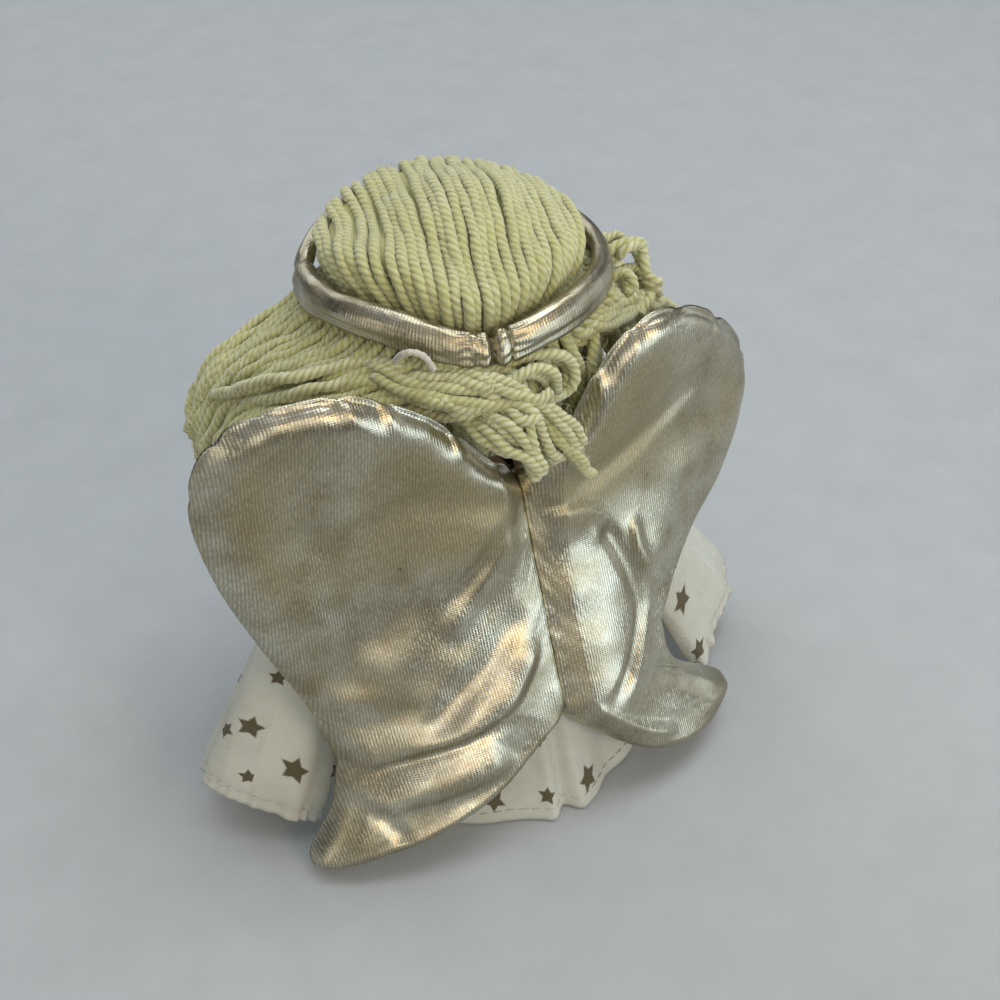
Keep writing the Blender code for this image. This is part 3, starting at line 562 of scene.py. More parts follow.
@dataclass(frozen=True)
class WovenCotton(Finish):
    """Plain-weave cotton: matt, with a fine crossed weave and uneven dye."""

    cloth: str = "C8CABF"
    shade_of_cloth: str = "BABAAC"
    thread_mm: float = 0.45         # real threads are about 0.25 mm; drawn coarser so that the weave shows
    crooked: float = 0.6
    dye_mm: float = 11.0
    dye_detail: float = 3.0
    dye_relief: float = 4.0
    thread_light: Pair = (0.9, 1.02)
    thread_height: float = 0.06
    roughness: float = 0.86
    sheen: float = 0.12
    gloss: float = 0.25

    @abstractmethod
    def figure(self, add: AddNode, place: Socket, cloth: Socket) -> Socket:
        """Lays on the cloth what is printed or powdered on it.

        Args:
            add: Adds a node to the material's tree.
            place: Place on the map.
            cloth: The cloth's colour.

        Returns:
            The colour with it.
        """

    def shade(self, add: AddNode) -> Socket:
        """Adds the weave, uneven dye and the figure.

        Args:
            add: Adds a node to the material's tree.

        Returns:
            The surface.
        """
        place = add("UVMap", uv_map=UV_NAME)
        threads = {"Vector": place, "Scale": stripes_per(self.thread_mm), "Distortion": self.crooked,
                   "Detail": 1.0}
        warp, weft = (add("TexWave", threads, "Fac", bands_direction=way) for way in "XY")
        weave = add("Math", {0: warp, 1: weft}, operation="ADD")
        dye = add("TexNoise", {"Vector": place, "Scale": 1 / self.dye_mm, "Detail": self.dye_detail})
        tone = add("MapRange", {0: dye, 1: 0.35, 2: 0.7})
        cloth = add("Mix", {"Factor": tone, 6: linear(self.cloth), 7: linear(self.shade_of_cloth)}, **COLOURS)
        dark, light = self.thread_light
        lit = add("MapRange", {0: weave, 1: 0.0, 2: 2.0, 3: dark, 4: light})
        colour = add("Mix", {"Factor": 1.0, 6: self.figure(add, place, cloth), 7: lit}, **COLOURS,
                     blend_type="MULTIPLY")
        relief = add("Math", {0: dye, 1: self.dye_relief, 2: weave}, operation="MULTIPLY_ADD")
        bump = add("Bump", {"Height": relief, "Strength": 0.6, "Distance": self.thread_height * MM})
        return add("BsdfPrincipled", {"Base Color": colour, "Roughness": self.roughness, "Normal": bump,
                                      "Sheen Weight": self.sheen, "Specular IOR Level": self.gloss})


@dataclass(frozen=True)
class Star:
    """One printed star: its place on the cloth's map, its reach to a point, in millimetres, and its turn."""

    u: float
    v: float
    reach: float = 2.0
    turn: float = 0.0


@dataclass(frozen=True)
class StarCotton(WovenCotton):
    """Ivory cotton with stars printed in olive-brown ink, a little ragged at their edges."""

    stars: tuple[Star, ...] = ()
    ink: str = "4E4426"
    inner_share: float = 0.53       # how deep the notches of a star are

    def figure(self, add: AddNode, place: Socket, cloth: Socket) -> Socket:
        """Draws each star as five folded points.

        Args:
            add: Adds a node to the material's tree.
            place: Place on the map.
            cloth: The cloth's colour.

        Returns:
            The colour with the stars.
        """
        notch = math.pi / 5
        slope = math.atan2(1 - self.inner_share * math.cos(notch), self.inner_share * math.sin(notch))
        edge = math.cos(slope)
        nearest = None
        for star in self.stars:
            local = add("Mapping", {"Vector": place, "Location": (star.u, star.v, 0),
                                    "Rotation": (0, 0, star.turn), "Scale": (star.reach, star.reach, 1)},
                        vector_type="TEXTURE")
            x, y, _ = add("SeparateXYZ", {0: local}).node.outputs
            angle = add("Math", {0: y, 1: x}, operation="ARCTAN2")
            folded = add("Math", {0: angle, 1: notch}, operation="PINGPONG")
            turned = add("Math", {0: folded, 1: slope}, operation="SUBTRACT")
            facing = add("Math", {0: turned}, operation="COSINE")
            far = add("VectorMath", {0: local}, "Value", operation="LENGTH")
            reach = add("Math", {0: far, 1: facing}, operation="MULTIPLY")
            nearest = reach if nearest is None else add("Math", {0: nearest, 1: reach}, operation="MINIMUM")
        if nearest is None:
            return cloth
        grain = add("TexNoise", {"Vector": place, "Scale": 2.4, "Detail": 2.0})
        ragged = add("Math", {0: grain, 1: 0.10, 2: nearest}, operation="MULTIPLY_ADD")
        inked = add("MapRange", {0: ragged, 1: edge, 2: edge + 0.12, 3: 0.94, 4: 0.0})
        return add("Mix", {"Factor": inked, 6: cloth, 7: linear(self.ink)}, **COLOURS)


@dataclass(frozen=True)
class PlainCotton(WovenCotton):
    """Dyed cotton, with a soft blush where a cheek is powdered."""

    thread_mm: float = 0.42
    crooked: float = 0.7
    dye_mm: float = 6.25
    dye_detail: float = 4.0
    dye_relief: float = 1.5
    thread_light: Pair = (0.88, 1.03)
    thread_height: float = 0.05
    roughness: float = 0.88
    sheen: float = 0.15
    gloss: float = 0.2
    blush: str = "D98C79"

    def figure(self, add: AddNode, place: Socket, cloth: Socket) -> Socket:
        """The blush."""
        powder = add("Attribute", out="Fac", attribute_name="powder")
        return add("Mix", {"Factor": powder, 6: cloth, 7: linear(self.blush)}, **COLOURS)


@dataclass(frozen=True)
class WorstedYarn(Finish):
    """Pale yellow three-ply acrylic yarn: soft and matt, with painted shade in the grooves between the plies.
    """

    crest: str = "C0C088"
    # painted shade: the deeper yellow laid in the ply grooves and over the cap between strands
    groove: str = "ABA96A"
    bleached: str = "D6D6B8"
    fibre_mm: float = 0.12          # fibre bundles, drawn coarser than single fibres so that they show

    def shade(self, add: AddNode) -> Socket:
        """Adds painted shade in the grooves, and colour by strand and along the fibres.

        Args:
            add: Adds a node to the material's tree.

        Returns:
            The surface.
        """
        place = add("UVMap", uv_map=UV_NAME)
        # how deep in a ply groove each point lies, which sets the painted shade
        groove = add("Attribute", out="Fac", attribute_name="groove")
        faded = add("Attribute", out="Fac", attribute_name="faded")
        stretched = add("Mapping", {"Vector": place, "Rotation": (0, 0, 0.5),
                                    "Scale": (1 / self.fibre_mm, 0.35 / self.fibre_mm, 1)})
        fibres = add("TexNoise", {"Vector": stretched, "Scale": 0.35, "Detail": 3.0})
        patches = add("TexNoise", {"Vector": place, "Scale": 0.22, "Detail": 2.0})
        depth = add("Math", {0: fibres, 1: 0.5, 2: groove}, operation="MULTIPLY_ADD")
        share = add("MapRange", {0: depth, 1: 0.25, 2: 1.1})
        light = add("MapRange", {0: patches, 1: 0.4, 2: 0.75, 3: 0.0, 4: 0.45})
        paler = add("Math", {0: light, 1: faded}, operation="ADD", use_clamp=True)
        top = add("Mix", {"Factor": paler, 6: linear(self.crest), 7: linear(self.bleached)}, **COLOURS)
        colour = add("Mix", {"Factor": share, 6: top, 7: linear(self.groove)}, **COLOURS)
        bump = add("Bump", {"Height": fibres, "Strength": 0.6, "Distance": 0.06 * MM})
        return add("BsdfPrincipled", {"Base Color": colour, "Roughness": 0.92, "Sheen Weight": 0.45,
                                      "Sheen Roughness": 0.6, "Specular IOR Level": 0.15, "Normal": bump})


@dataclass(frozen=True)
class SpunThread(Finish):
    """Twisted sewing or embroidery thread: fine slanting plies with a slight silky gloss."""

    dyed: str = "E9E6DC"
    shadow: str = "B9B4A4"
    ply_mm: float = 0.30
    roughness: float = 0.6

    def shade(self, add: AddNode) -> Socket:
        """Adds slanting plies.

        Args:
            add: Adds a node to the material's tree.

        Returns:
            The surface.
        """
        place = add("UVMap", uv_map=UV_NAME)
        plies = add("TexWave", {"Vector": place, "Scale": stripes_per(self.ply_mm), "Distortion": 0.5}, "Fac",
                    bands_direction="DIAGONAL")
        fuzz = add("TexNoise", {"Vector": place, "Scale": 3.0, "Detail": 2.0})
        share = add("Math", {0: plies, 1: fuzz}, operation="MULTIPLY")
        colour = add("Mix", {"Factor": share, 6: linear(self.shadow), 7: linear(self.dyed)}, **COLOURS)
        bump = add("Bump", {"Height": plies, "Strength": 0.7, "Distance": 0.05 * MM})
        return add("BsdfPrincipled", {"Base Color": colour, "Roughness": self.roughness, "Sheen Weight": 0.1,
                                      "Normal": bump})


@dataclass(frozen=True)
class PaleFloor(Finish):
    """A pale felt floor: matt, with a trace of unevenness."""

    colour: str = "B2B7B9"
    tuft_mm: float = 14.0

    def shade(self, add: AddNode) -> Socket:
        """Adds faint unevenness to a matt surface.

        Args:
            add: Adds a node to the material's tree.

        Returns:
            The surface.
        """
        place = add("TexCoord", out="Object")
        tufts = add("TexNoise", {"Vector": place, "Scale": 1 / (self.tuft_mm * MM), "Detail": 5.0,
                                 "Roughness": 0.65})
        tone = add("MapRange", {0: tufts, 1: 0.3, 2: 0.7, 3: 0.95, 4: 1.03})
        colour = add("Mix", {"Factor": 1.0, 6: linear(self.colour), 7: tone}, **COLOURS,
                     blend_type="MULTIPLY")
        return add("BsdfPrincipled", {"Base Color": colour, "Roughness": 0.95, "Specular IOR Level": 0.1})


@dataclass(frozen=True)
class Palette:
    """The doll's shared finishes."""

    foil: Material
    yarn: Material
    skin: Material
    muslin: Material
    plain_cotton: Material
    pale_thread: Material
    yarn_thread: Material
    seam_thread: Material
    eye_thread: Material
    mouth_thread: Material
    elastic: Material

    @classmethod
    def make(cls) -> "Palette":
        """Makes every finish once."""
        return cls(foil=FoilKnit("foil_pressed_warp_knit").make(),
                   yarn=WorstedYarn("twisted_acrylic_yarn").make(),
                   skin=PlainCotton("peach_plain_weave_cotton", cloth="E8C3A6",
                                    shade_of_cloth="DBB092").make(),
                   muslin=PlainCotton("unbleached_muslin", cloth="DCCDB4", shade_of_cloth="CDBCA0").make(),
                   plain_cotton=PlainCotton("ivory_plain_weave_cotton").make(),
                   pale_thread=SpunThread("bleached_cotton_thread").make(),
                   yarn_thread=SpunThread("yellow_sewing_thread", dyed="CFCF98", shadow="A5A262").make(),
                   seam_thread=SpunThread("olive_seam_thread", dyed="6E664C", shadow="453F2E").make(),
                   eye_thread=SpunThread("black_embroidery_thread", dyed="2A211C", shadow="120E0C",
                                         roughness=0.4).make(),
                   mouth_thread=SpunThread("red_embroidery_thread", dyed="B24E48", shadow="7E302D",
                                           roughness=0.5).make(),
                   elastic=SpunThread("knitted_elastic", dyed="EDEBE4", shadow="C8C4B8", ply_mm=0.5).make())


class SubAssembly(ABC):
    """A group of pieces that are made together."""

    @abstractmethod
    def build(self, palette: Palette) -> list[Piece]:
        """Makes the pieces, dresses them and sets them on their bodies.

        Args:
            palette: The shared finishes.

        Returns:
            The pieces.
        """


# Body, gown and sleeves


@dataclass
class Gown(SubAssembly):
    """The star-print gown: a back and a front panel, their hem stitches, and the band at the neckline."""

    heights: tuple[float, ...] = (56.2, 54.5, 51.0, 45.0, 35.0, 25.0, 12.0, 0.4)
    half_widths: tuple[float, ...] = (9.6, 12.0, 15.5, 18.5, 22.5, 26.0, 30.0, 33.0)
    back_depths: tuple[float, ...] = (9.6, 14.5, 19.5, 23.0, 27.0, 31.0, 36.5, 41.5)
    front_depths: tuple[float, ...] = (9.6, 11.8, 14.5, 18.0, 24.0, 29.0, 33.0, 35.0)
    folds: int = 8
    fold_depth: float = 0.4
    front_lift: float = 17.5
    lift_half_angle: float = math.radians(80)
    cloth: float = 0.5
    hem: float = 2.4
    pleats: tuple[Triple, ...] = ((0.02, 0.05, 1.7), (-0.34, 0.10, 0.5), (0.42, 0.09, 0.5))
    band_foot: float = 55.3
    band_height: float = 3.0
    band_outer: float = 10.4
    band_wall: float = 1.1
    rows: int = 72
    columns: int = 180
    back_stars: tuple[Star, ...] = ()
    front_stars: tuple[Star, ...] = ()

    def half(self, values: tuple[float, ...], height: Array) -> Array:
        """A size of the gown at some heights, with the corners of its profile rounded.

        Args:
            values: The size at each of the gown's heights.
            height: Heights to read it at.

        Returns:
            The size there.
        """
        near = np.linspace(-2.5, 2.5, 11)
        low, high = self.heights[-1], self.heights[0]
        spread = np.clip(height[..., None] + near, low, high)
        return np.interp(spread, self.heights[::-1], values[::-1]).mean(-1)

    def hem_height(self, angle: Array) -> Array:
        """The hem's height by the angle from the back: over the legs in front.

        Args:
            angle: Angle from the back.

        Returns:
            The height there.
        """
        from_front = np.abs(np.abs(angle) - math.pi)
        rise = 0.5 + 0.5 * np.cos(math.pi * np.clip(from_front / self.lift_half_angle, 0, 1))
        return self.heights[-1] + self.front_lift * np.minimum(1.0, 1.6 * rise)

    def surface(self, angle: Array, height: Array, inset: float = 0.0) -> Array:
        """Points of the gown.

        Args:
            angle: Angle from the back, towards the left.
            height: Height above the floor.
            inset: How far inside the outer face.

        Returns:
            Points in millimetres.
        """
        low = np.clip(1 - height / self.heights[0], 0, 1)
        depth = np.where(np.cos(angle) > 0, self.half(self.back_depths, height),
                         self.half(self.front_depths, height))
        width = self.half(self.half_widths, height)
        fold = self.fold_depth * low**1.5 * (np.cos(self.folds * angle) - 1) * 0.6
        fold = fold + 0.5 * low * ripple(3, np.cos(angle) * 2.2, np.sin(angle) * 2.2, height / 40)
        to_hem = np.maximum(height - self.hem_height(angle), 0)
        fold = fold + 0.22 * bell(to_hem / 3.0) * ripple(4, np.cos(angle) * 6, np.sin(angle) * 6, waves=4)
        for middle, reach, deep in self.pleats:
            fold = fold - deep * low**1.2 * bell((angle - middle) / reach)
            fold = fold + 0.5 * deep * low**1.2 * bell((np.abs(angle - middle) - 1.9 * reach) / reach)
        out = fold - inset
        return np.stack(((width + out) * np.sin(angle), (depth + out) * np.cos(angle), height), -1)

    def panel(self, name: str, middle: float, stars: tuple[Star, ...], palette: Palette) -> list[Piece]:
        """One panel as a thin closed sheet, with its hem stitches.

        Args:
            name: The panel's name.
            middle: Angle of its middle from the back.
            stars: What is printed on it.
            palette: The shared finishes.

        Returns:
            The panel and the stitches.
        """
        angle = middle + np.linspace(-math.pi / 2, math.pi / 2, self.columns + 1)
        turn = (angle + math.pi) % TURN - math.pi
        share = np.linspace(0, 1, self.rows + 1)[:, None]
        height = self.heights[0] + share * (self.hem_height(turn) - self.heights[0])
        angles = np.broadcast_to(turn, height.shape)
        outer, inner = self.surface(angles, height), self.surface(angles, height, self.cloth)
        to_hem = height - self.hem_height(turn)
        roll = bell((to_hem - self.hem) / 0.35) * 0.22 - 0.12 * (to_hem < self.hem)
        facing = np.stack((np.sin(angles), np.cos(angles), np.zeros_like(height)), -1)
        outer = outer - facing * roll[..., None]
        reach = 0.5 * (self.half(self.half_widths, height) + self.half(self.back_depths, height))
        places = np.stack(((angle - middle) * reach, height), -1)
        maker = MeshMaker()
        grid = np.concatenate((outer, inner[::-1]))
        first = maker.add_points(grid)
        index = looped(first + np.arange(grid.shape[0] * grid.shape[1]).reshape(grid.shape[:2]))
        maker.add_faces(quads(index), quads(looped(np.concatenate((places, places[::-1])))))
        half = self.rows + 1
        for column in (0, self.columns):
            up, down = index[:half, column], index[half:2 * half, column][::-1]
            side = np.stack((up[:-1], up[1:], down[1:], down[:-1]), 1)
            spot = places[:, column]
            maker.add_faces(side, np.stack((spot[:-1], spot[1:], spot[1:], spot[:-1]), 1))
        cotton = StarCotton(f"printed_cotton_{name}", stars=stars).make()
        panel = settle(maker, name, cotton, "torso", "star_cotton", f"{name}_panel")
        row = int(np.abs(to_hem[:, self.columns // 2] - self.hem).argmin())
        stitches = MeshMaker()
        stitches.add_stitches(outer[row] + facing[row] * 0.02, facing[row])
        thread = settle(stitches, f"{name}_hem_stitches", palette.pale_thread, "torso", "thread")
        return [panel, thread]

    def neckband(self, palette: Palette) -> Piece:
        """The gathered band round the neckline.

        Args:
            palette: The shared finishes.

        Returns:
            The band.
        """
        angle = round_angles(168)
        section = round_angles(20)
        pleat = 0.16 * np.cos(30 * angle)[:, None]
        middle = self.band_outer - self.band_wall / 2
        thick = self.band_wall / 2 - 0.12
        radius = middle + (thick + pleat * 0.6) * blunt(np.cos(section), 0.7)
        height = (self.band_foot + self.band_height / 2
                  + (self.band_height / 2 + pleat * 0.4) * blunt(np.sin(section), 0.8))
        grid = np.stack((radius * np.sin(angle)[:, None], radius * np.cos(angle)[:, None], height), -1)
        grid = looped(grid)
        places = stacked(np.linspace(0, TURN * middle, len(grid))[:, None],
                         np.linspace(0, 6, len(section) + 1)[None])
        maker = MeshMaker()
        maker.add_rings(grid[:-1], places[:-1], capped=False)
        last = np.arange(len(section))
        start = (len(grid) - 2) * len(section)
        close = np.stack((start + last, start + np.roll(last, -1), np.roll(last, -1), last), 1)
        spots = places[-2, :-1], places[-2, 1:], places[-1, 1:], places[-1, :-1]
        maker.add_faces(close, np.stack(spots, 1))
        return settle(maker, "gathered_neckband", palette.plain_cotton, "torso", "star_cotton", "neckband")

    def build(self, palette: Palette) -> list[Piece]:
        """Makes both panels and the band."""
        return [*self.panel("gown_back", 0.0, self.back_stars, palette),
                *self.panel("gown_front", math.pi, self.front_stars, palette),
                self.neckband(palette)]


@dataclass
class Torso(SubAssembly):
    """The stuffed torso with its seat panel."""

    seat_radius: float = 17.0
    profile: tuple[Pair, ...] = (
        (19.25, 6.0), (20.0, 14.0), (18.6, 26.5), (15.0, 38.9), (11.2, 49.3), (8.0, 55.4))
    columns: int = 72

    def build(self, palette: Palette) -> list[Piece]:
        """Turns the torso and puckers its cloth where it is gathered.

        Args:
            palette: The shared finishes.

        Returns:
            The torso.
        """
        line = curve_through([(3.0, 0.05), (12.0, 0.15), (self.seat_radius - 0.6, 0.3), (18.2, 2.2),
                              *self.profile, (3.0, 55.5)], 1.1)
        angle = round_angles(self.columns)
        gathered = ease(30, 55, line[:, 1]) + ease(8, 0, line[:, 1])
        pucker = 1 + 0.012 * np.cos(14 * angle)[None] * gathered[:, None]
        radius = line[:, :1] * pucker
        grid = stacked(radius * np.sin(angle), radius * np.cos(angle), line[:, 1:])
        places = stacked(np.linspace(0, TURN * 17, self.columns + 1)[None],
                         np.arange(len(line))[:, None] * 1.1)
        maker = MeshMaker()
        maker.add_rings(grid, places)
        return [settle(maker, "torso_cover", palette.muslin, "torso", "muslin", "seat_panel", "body_cover",
                       "body_filling", fill=0.85)]


@dataclass
class Arm(SubAssembly):
    """A stuffed arm in its bell sleeve, with hem stitches and the elastic inside the cuff."""

    side: Side
    stars: tuple[Star, ...] = ()
    spread: float = 0.0                 # how much further the bell hangs out towards the back
    shoulder: Triple = (24.4, 0.0, 51.0)
    cuff: Triple = (52.0, 11.0, 5.8)
    across: Triple = (-0.72, 0.69, 0.0)
    top_radius: float = 7.5
    cuff_half: Pair = (13.0, 6.5)
    cloth: float = 0.5
    hem: float = 2.3
    flutes: tuple[tuple[int, float, float], ...] = ((3, 1.0, 0.4), (5, 0.8, 1.3), (8, 0.3, 0.2))
    gather: float = 0.9
    hand_radius: float = 4.9
    hand_short: float = 3.0
    elastic_radius: float = 0.55
    elastic_in: float = 4.0
    rows: int = 76
    columns: int = 128

    def line(self) -> tuple[Array, Array, float, Array, Array]:
        """The arm's own directions.

        Returns:
            The shoulder, the direction to the cuff, the length, and the wide and deep directions.
        """
        flip = np.array((self.side.value, 1.0, 1.0))
        start, end = np.array(self.shoulder) * flip, np.array(self.cuff) * flip
        along = unit(end - start)
        wide = np.array(self.across) * flip
        wide = unit(wide - wide @ along * along)
        return start, along, float(np.linalg.norm(end - start)), wide, np.cross(along, wide)

    def halves(self, share: Array) -> tuple[Array, Array]:
        """Half width and half depth of the sleeve by the share of the way to the cuff."""
        top, (wide, deep) = self.top_radius, self.cuff_half
        return top + (wide - top) * share**1.2, top + (deep - top) * share

    def sleeve_grid(self, inset: float) -> tuple[Array, Array]:
        """Points of the sleeve's outer face, or inside it.

        Args:
            inset: How far inside.

        Returns:
            Points (rows, columns, 3) from the shoulder to the hem, and map places with one column more.
        """
        start, along, length, wide, deep = self.line()
        crown = self.top_radius * 0.55
        reach = np.concatenate((np.linspace(-crown + inset, -0.5, 8), np.linspace(0, length, self.rows)))
        share = np.clip(reach / length, 0, 1)
        cap = np.sqrt(np.clip(1 - np.clip(-reach / (crown + 0.3), 0, 1) ** 2, 0.02, 1))
        half_wide, half_deep = (half * cap - inset for half in self.halves(share))
        around = np.linspace(-math.pi, math.pi, self.columns + 1)
        angle = around[:-1] - self.side.value * math.pi / 2
        flute = sum(deepness * np.cos(count * angle + phase * (1 + self.side.value * 0.3))[None]
                    * share[:, None] ** 1.6 for count, deepness, phase in self.flutes)
        round_it = np.cos(angle)[None] * 7.5, np.sin(angle)[None] * 7.5
        flute = flute + 0.35 * ease(0.25, 0.0, share)[:, None] * np.cos(16 * angle)[None] * cap[:, None]
        flute = np.minimum(flute, 1.0)
        to_hem = length - reach[:, None]
        drawn = bell((to_hem - 0.5) / 2.6)
        flute = flute - self.gather * drawn + 0.30 * drawn * ripple(6 + self.side.value, *round_it)
        flute = flute - bell((to_hem - self.hem) / 0.35) * 0.2
        hang = self.spread * share[:, None] ** 1.5 * np.clip(np.cos(angle), 0, 1)
        grid = (start + along * reach[:, None, None]
                + wide * ((half_wide[:, None] + flute + hang) * np.cos(angle))[..., None]
                + deep * ((half_deep[:, None] + flute) * np.sin(angle))[..., None])
        grid[..., 2] = np.maximum(grid[..., 2], 0.25 + inset)
        face = 0.5 * (half_wide + half_deep)[:, None]
        places = stacked(around[None] * face, reach[:, None])
        return grid, places

    def sleeve(self, palette: Palette) -> list[Piece]:
        """The sleeve as a thin closed sheet, and its hem stitches.

        Args:
            palette: The shared finishes.

        Returns:
            The sleeve and the stitches.
        """
        name = f"{self.side.word}_sleeve"
        outer, places = self.sleeve_grid(0.0)
        inner, _ = self.sleeve_grid(self.cloth)
        maker = MeshMaker()
        maker.add_rings(np.concatenate((outer, inner[::-1])), np.concatenate((places, places[::-1])))
        body, cotton = f"{self.side.word}_arm", StarCotton(f"printed_cotton_{name}", stars=self.stars).make()
        sleeve = settle(maker, f"{self.side.word}_bell_sleeve", cotton, body, "star_cotton", name)
        _, along, length, _, _ = self.line()
        row = int(np.abs((outer[:, 0] - outer[-1, 0]) @ -along - self.hem).argmin())
        ring = looped(outer[row])
        off = unit(ring - ring[:-1].mean(0))
        stitches = MeshMaker()
        stitches.add_stitches(ring + off * 0.03, off)
        thread = settle(stitches, f"{name}_hem_stitches", palette.pale_thread, body, "thread")
        return [sleeve, thread]

    def limb(self, palette: Palette) -> Piece:
        """The stuffed arm with its mitten hand.

        Args:
            palette: The shared finishes.

        Returns:
            The arm.
        """
        start, along, length, wide, _ = self.line()
        reach = length - self.hand_short
        shape = [(-1.6, 2.2), (0.6, 4.1), (0.25 * reach, 4.6), (0.55 * reach, 4.4), (0.74 * reach, 3.8),
                 (0.86 * reach, self.hand_radius), (0.95 * reach, self.hand_radius * 0.88),
                 (0.985 * reach, 2.9), (reach, 1.2)]
        line = curve_through(shape, 0.9)
        maker = MeshMaker()
        flat = 1 - 0.18 * ease(0.8 * reach, 0.9 * reach, line[:, 0])
        maker.add_tube(start + along * line[:, :1], line[:, 1], wide, line[:, 1] * flat, sides=28)
        thumb = start + along * (0.84 * reach) + wide * self.hand_radius * 0.55
        path = curve_through([thumb, thumb + wide * 1.6 + along * 0.6, thumb + wide * 2.3 + along * 2.2], 0.4)
        size = np.linspace(1.5, 0.9, len(path))
        maker.add_tube(path, size, along)
        return settle(maker, f"{self.side.word}_stuffed_arm", palette.skin, f"{self.side.word}_arm",
                      "skin_cloth", f"{self.side.word}_arm", fill=0.8)

    def cuff_elastic(self, palette: Palette) -> Piece:
        """The elastic cord in the cuff.

        Args:
            palette: The shared finishes.

        Returns:
            The cord.
        """
        start, along, length, wide, deep = self.line()
        share = 1 - self.elastic_in / length
        inset = 0.9 + 0.3 + self.elastic_radius + 0.35
        half_wide, half_deep = (half - inset for half in self.halves(share))
        angle = np.linspace(0, TURN, 97)
        wave = 1 + 0.02 * np.cos(9 * angle)[:, None]
        loop = (start + along * (length - self.elastic_in)
                + (wide * np.cos(angle)[:, None] * half_wide
                   + deep * np.sin(angle)[:, None] * half_deep) * wave)
        maker = MeshMaker()
        size = self.elastic_radius * (0.82 + 0.1 * np.cos(np.arange(len(loop)) * 2.1))
        maker.add_tube(loop, size, along, sides=10)
        return settle(maker, f"{self.side.word}_cuff_cord", palette.elastic, f"{self.side.word}_arm",
                      "elastic", f"{self.side.word}_cuff_elastic")

    def build(self, palette: Palette) -> list[Piece]:
        """Makes the arm, the sleeve and the elastic."""
        return [self.limb(palette), *self.sleeve(palette), self.cuff_elastic(palette)]


@dataclass
class Leg(SubAssembly):
    """A stuffed leg that points forward, and its bootie."""

    side: Side
    radius: float = 6.6
    knee_swell: float = 0.5
    stars: tuple[Star, ...] = (Star(-7, 4.6, 1.6), Star(1, 3.2, 1.4, 0.5), Star(9, 5.0, 1.6, 1.0),
                               Star(-15, 5.2, 1.5, 0.3), Star(17, 4.4, 1.5, 0.8))

    def build(self, palette: Palette) -> list[Piece]:
        """Makes the leg and the bootie.

        Args:
            palette: The shared finishes.

        Returns:
            The pieces.
        """
        body = f"{self.side.word}_leg"
        low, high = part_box(body)
        hip = np.array(((low.x + high.x) / 2, high.y, (low.z + high.z) / 2)) / MM
        ahead = np.array((0.0, -1.0, 0.0))
        long = (high.y - low.y) / MM
        shape = [(0.0, 1.6), (1.2, 4.2), (3.4, 5.9), (6.0, 6.5), (long * 0.5, self.radius + self.knee_swell),
                 (long * 0.8, 6.2), (long - 0.8, 5.6), (long, 4.8)]
        line = curve_through(shape, 0.8)
        maker = MeshMaker()
        pucker = 1 + 0.015 * np.cos(line[:, 0] * 0.9)
        maker.add_tube(hip + ahead * line[:, :1], line[:, 1] * pucker, np.array((1.0, 0, 0)), sides=40)
        leg = settle(maker, f"{self.side.word}_stuffed_leg", palette.skin, body, "skin_cloth", body,
                     fill=0.85)
        return [leg, *self.bootie(palette)]

    def bootie(self, palette: Palette) -> list[Piece]:
        """The bootie: an upright stuffed toe with a turned top and its stitches.

        Args:
            palette: The shared finishes.

        Returns:
            The bootie and its stitches.
        """
        body, node = f"{self.side.word}_leg", f"{self.side.word}_bootie"
        low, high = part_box(node)
        middle, long = (low.x + high.x) / 2 / MM, (high.y - low.y) / MM
        foot, tall = low.z / MM, (high.z - low.z) / MM
        shape = curve_through([(0.0, 0.80, 0.70), (0.04, 0.86, 0.76), (0.12, 0.88, 0.80), (0.3, 0.98, 0.97),
                               (0.6, 1.0, 1.0), (0.84, 0.86, 0.88), (0.96, 0.6, 0.64), (1.0, 0.28, 0.32)],
                              0.025)
        angle = round_angles(56)
        half = (high.x - low.x) / 2 / MM
        toe = ease(0.0, 0.4, shape[:, 0])
        centre = foot + tall / 2 * (0.86 + 0.14 * toe)
        pucker = 1 + 0.02 * np.cos(11 * angle)[None] * ease(0.75, 1.0, shape[:, 0])[:, None]
        grid = stacked(middle + half * shape[:, 1:2] * np.cos(angle) * pucker,
                       high.y / MM - long * shape[:, :1],
                       centre[:, None] + tall / 2 * shape[:, 2:3] * np.sin(angle) * pucker)
        grid[..., 2] = np.maximum(grid[..., 2], foot)
        round_it = np.linspace(-math.pi, math.pi, len(angle) + 1) * half
        places = stacked(round_it[None], shape[:, :1] * long)
        maker = MeshMaker()
        maker.add_rings(grid, places)
        cotton = StarCotton(f"printed_cotton_{node}", stars=self.stars).make()
        piece = settle(maker, f"{self.side.word}_stuffed_bootie", cotton, body, "star_cotton", node, fill=0.8)
        row = int(np.abs(shape[:, 0] - 0.14).argmin())
        ring = looped(grid[row])
        off = unit(ring - ring[:-1].mean(0))
        stitches = MeshMaker()
        stitches.add_stitches(ring + off * 0.05, off, 1.4, 0.8)
        return [piece, settle(stitches, f"{node}_top_stitches", palette.pale_thread, body, "thread")]


# Head, wig and halo


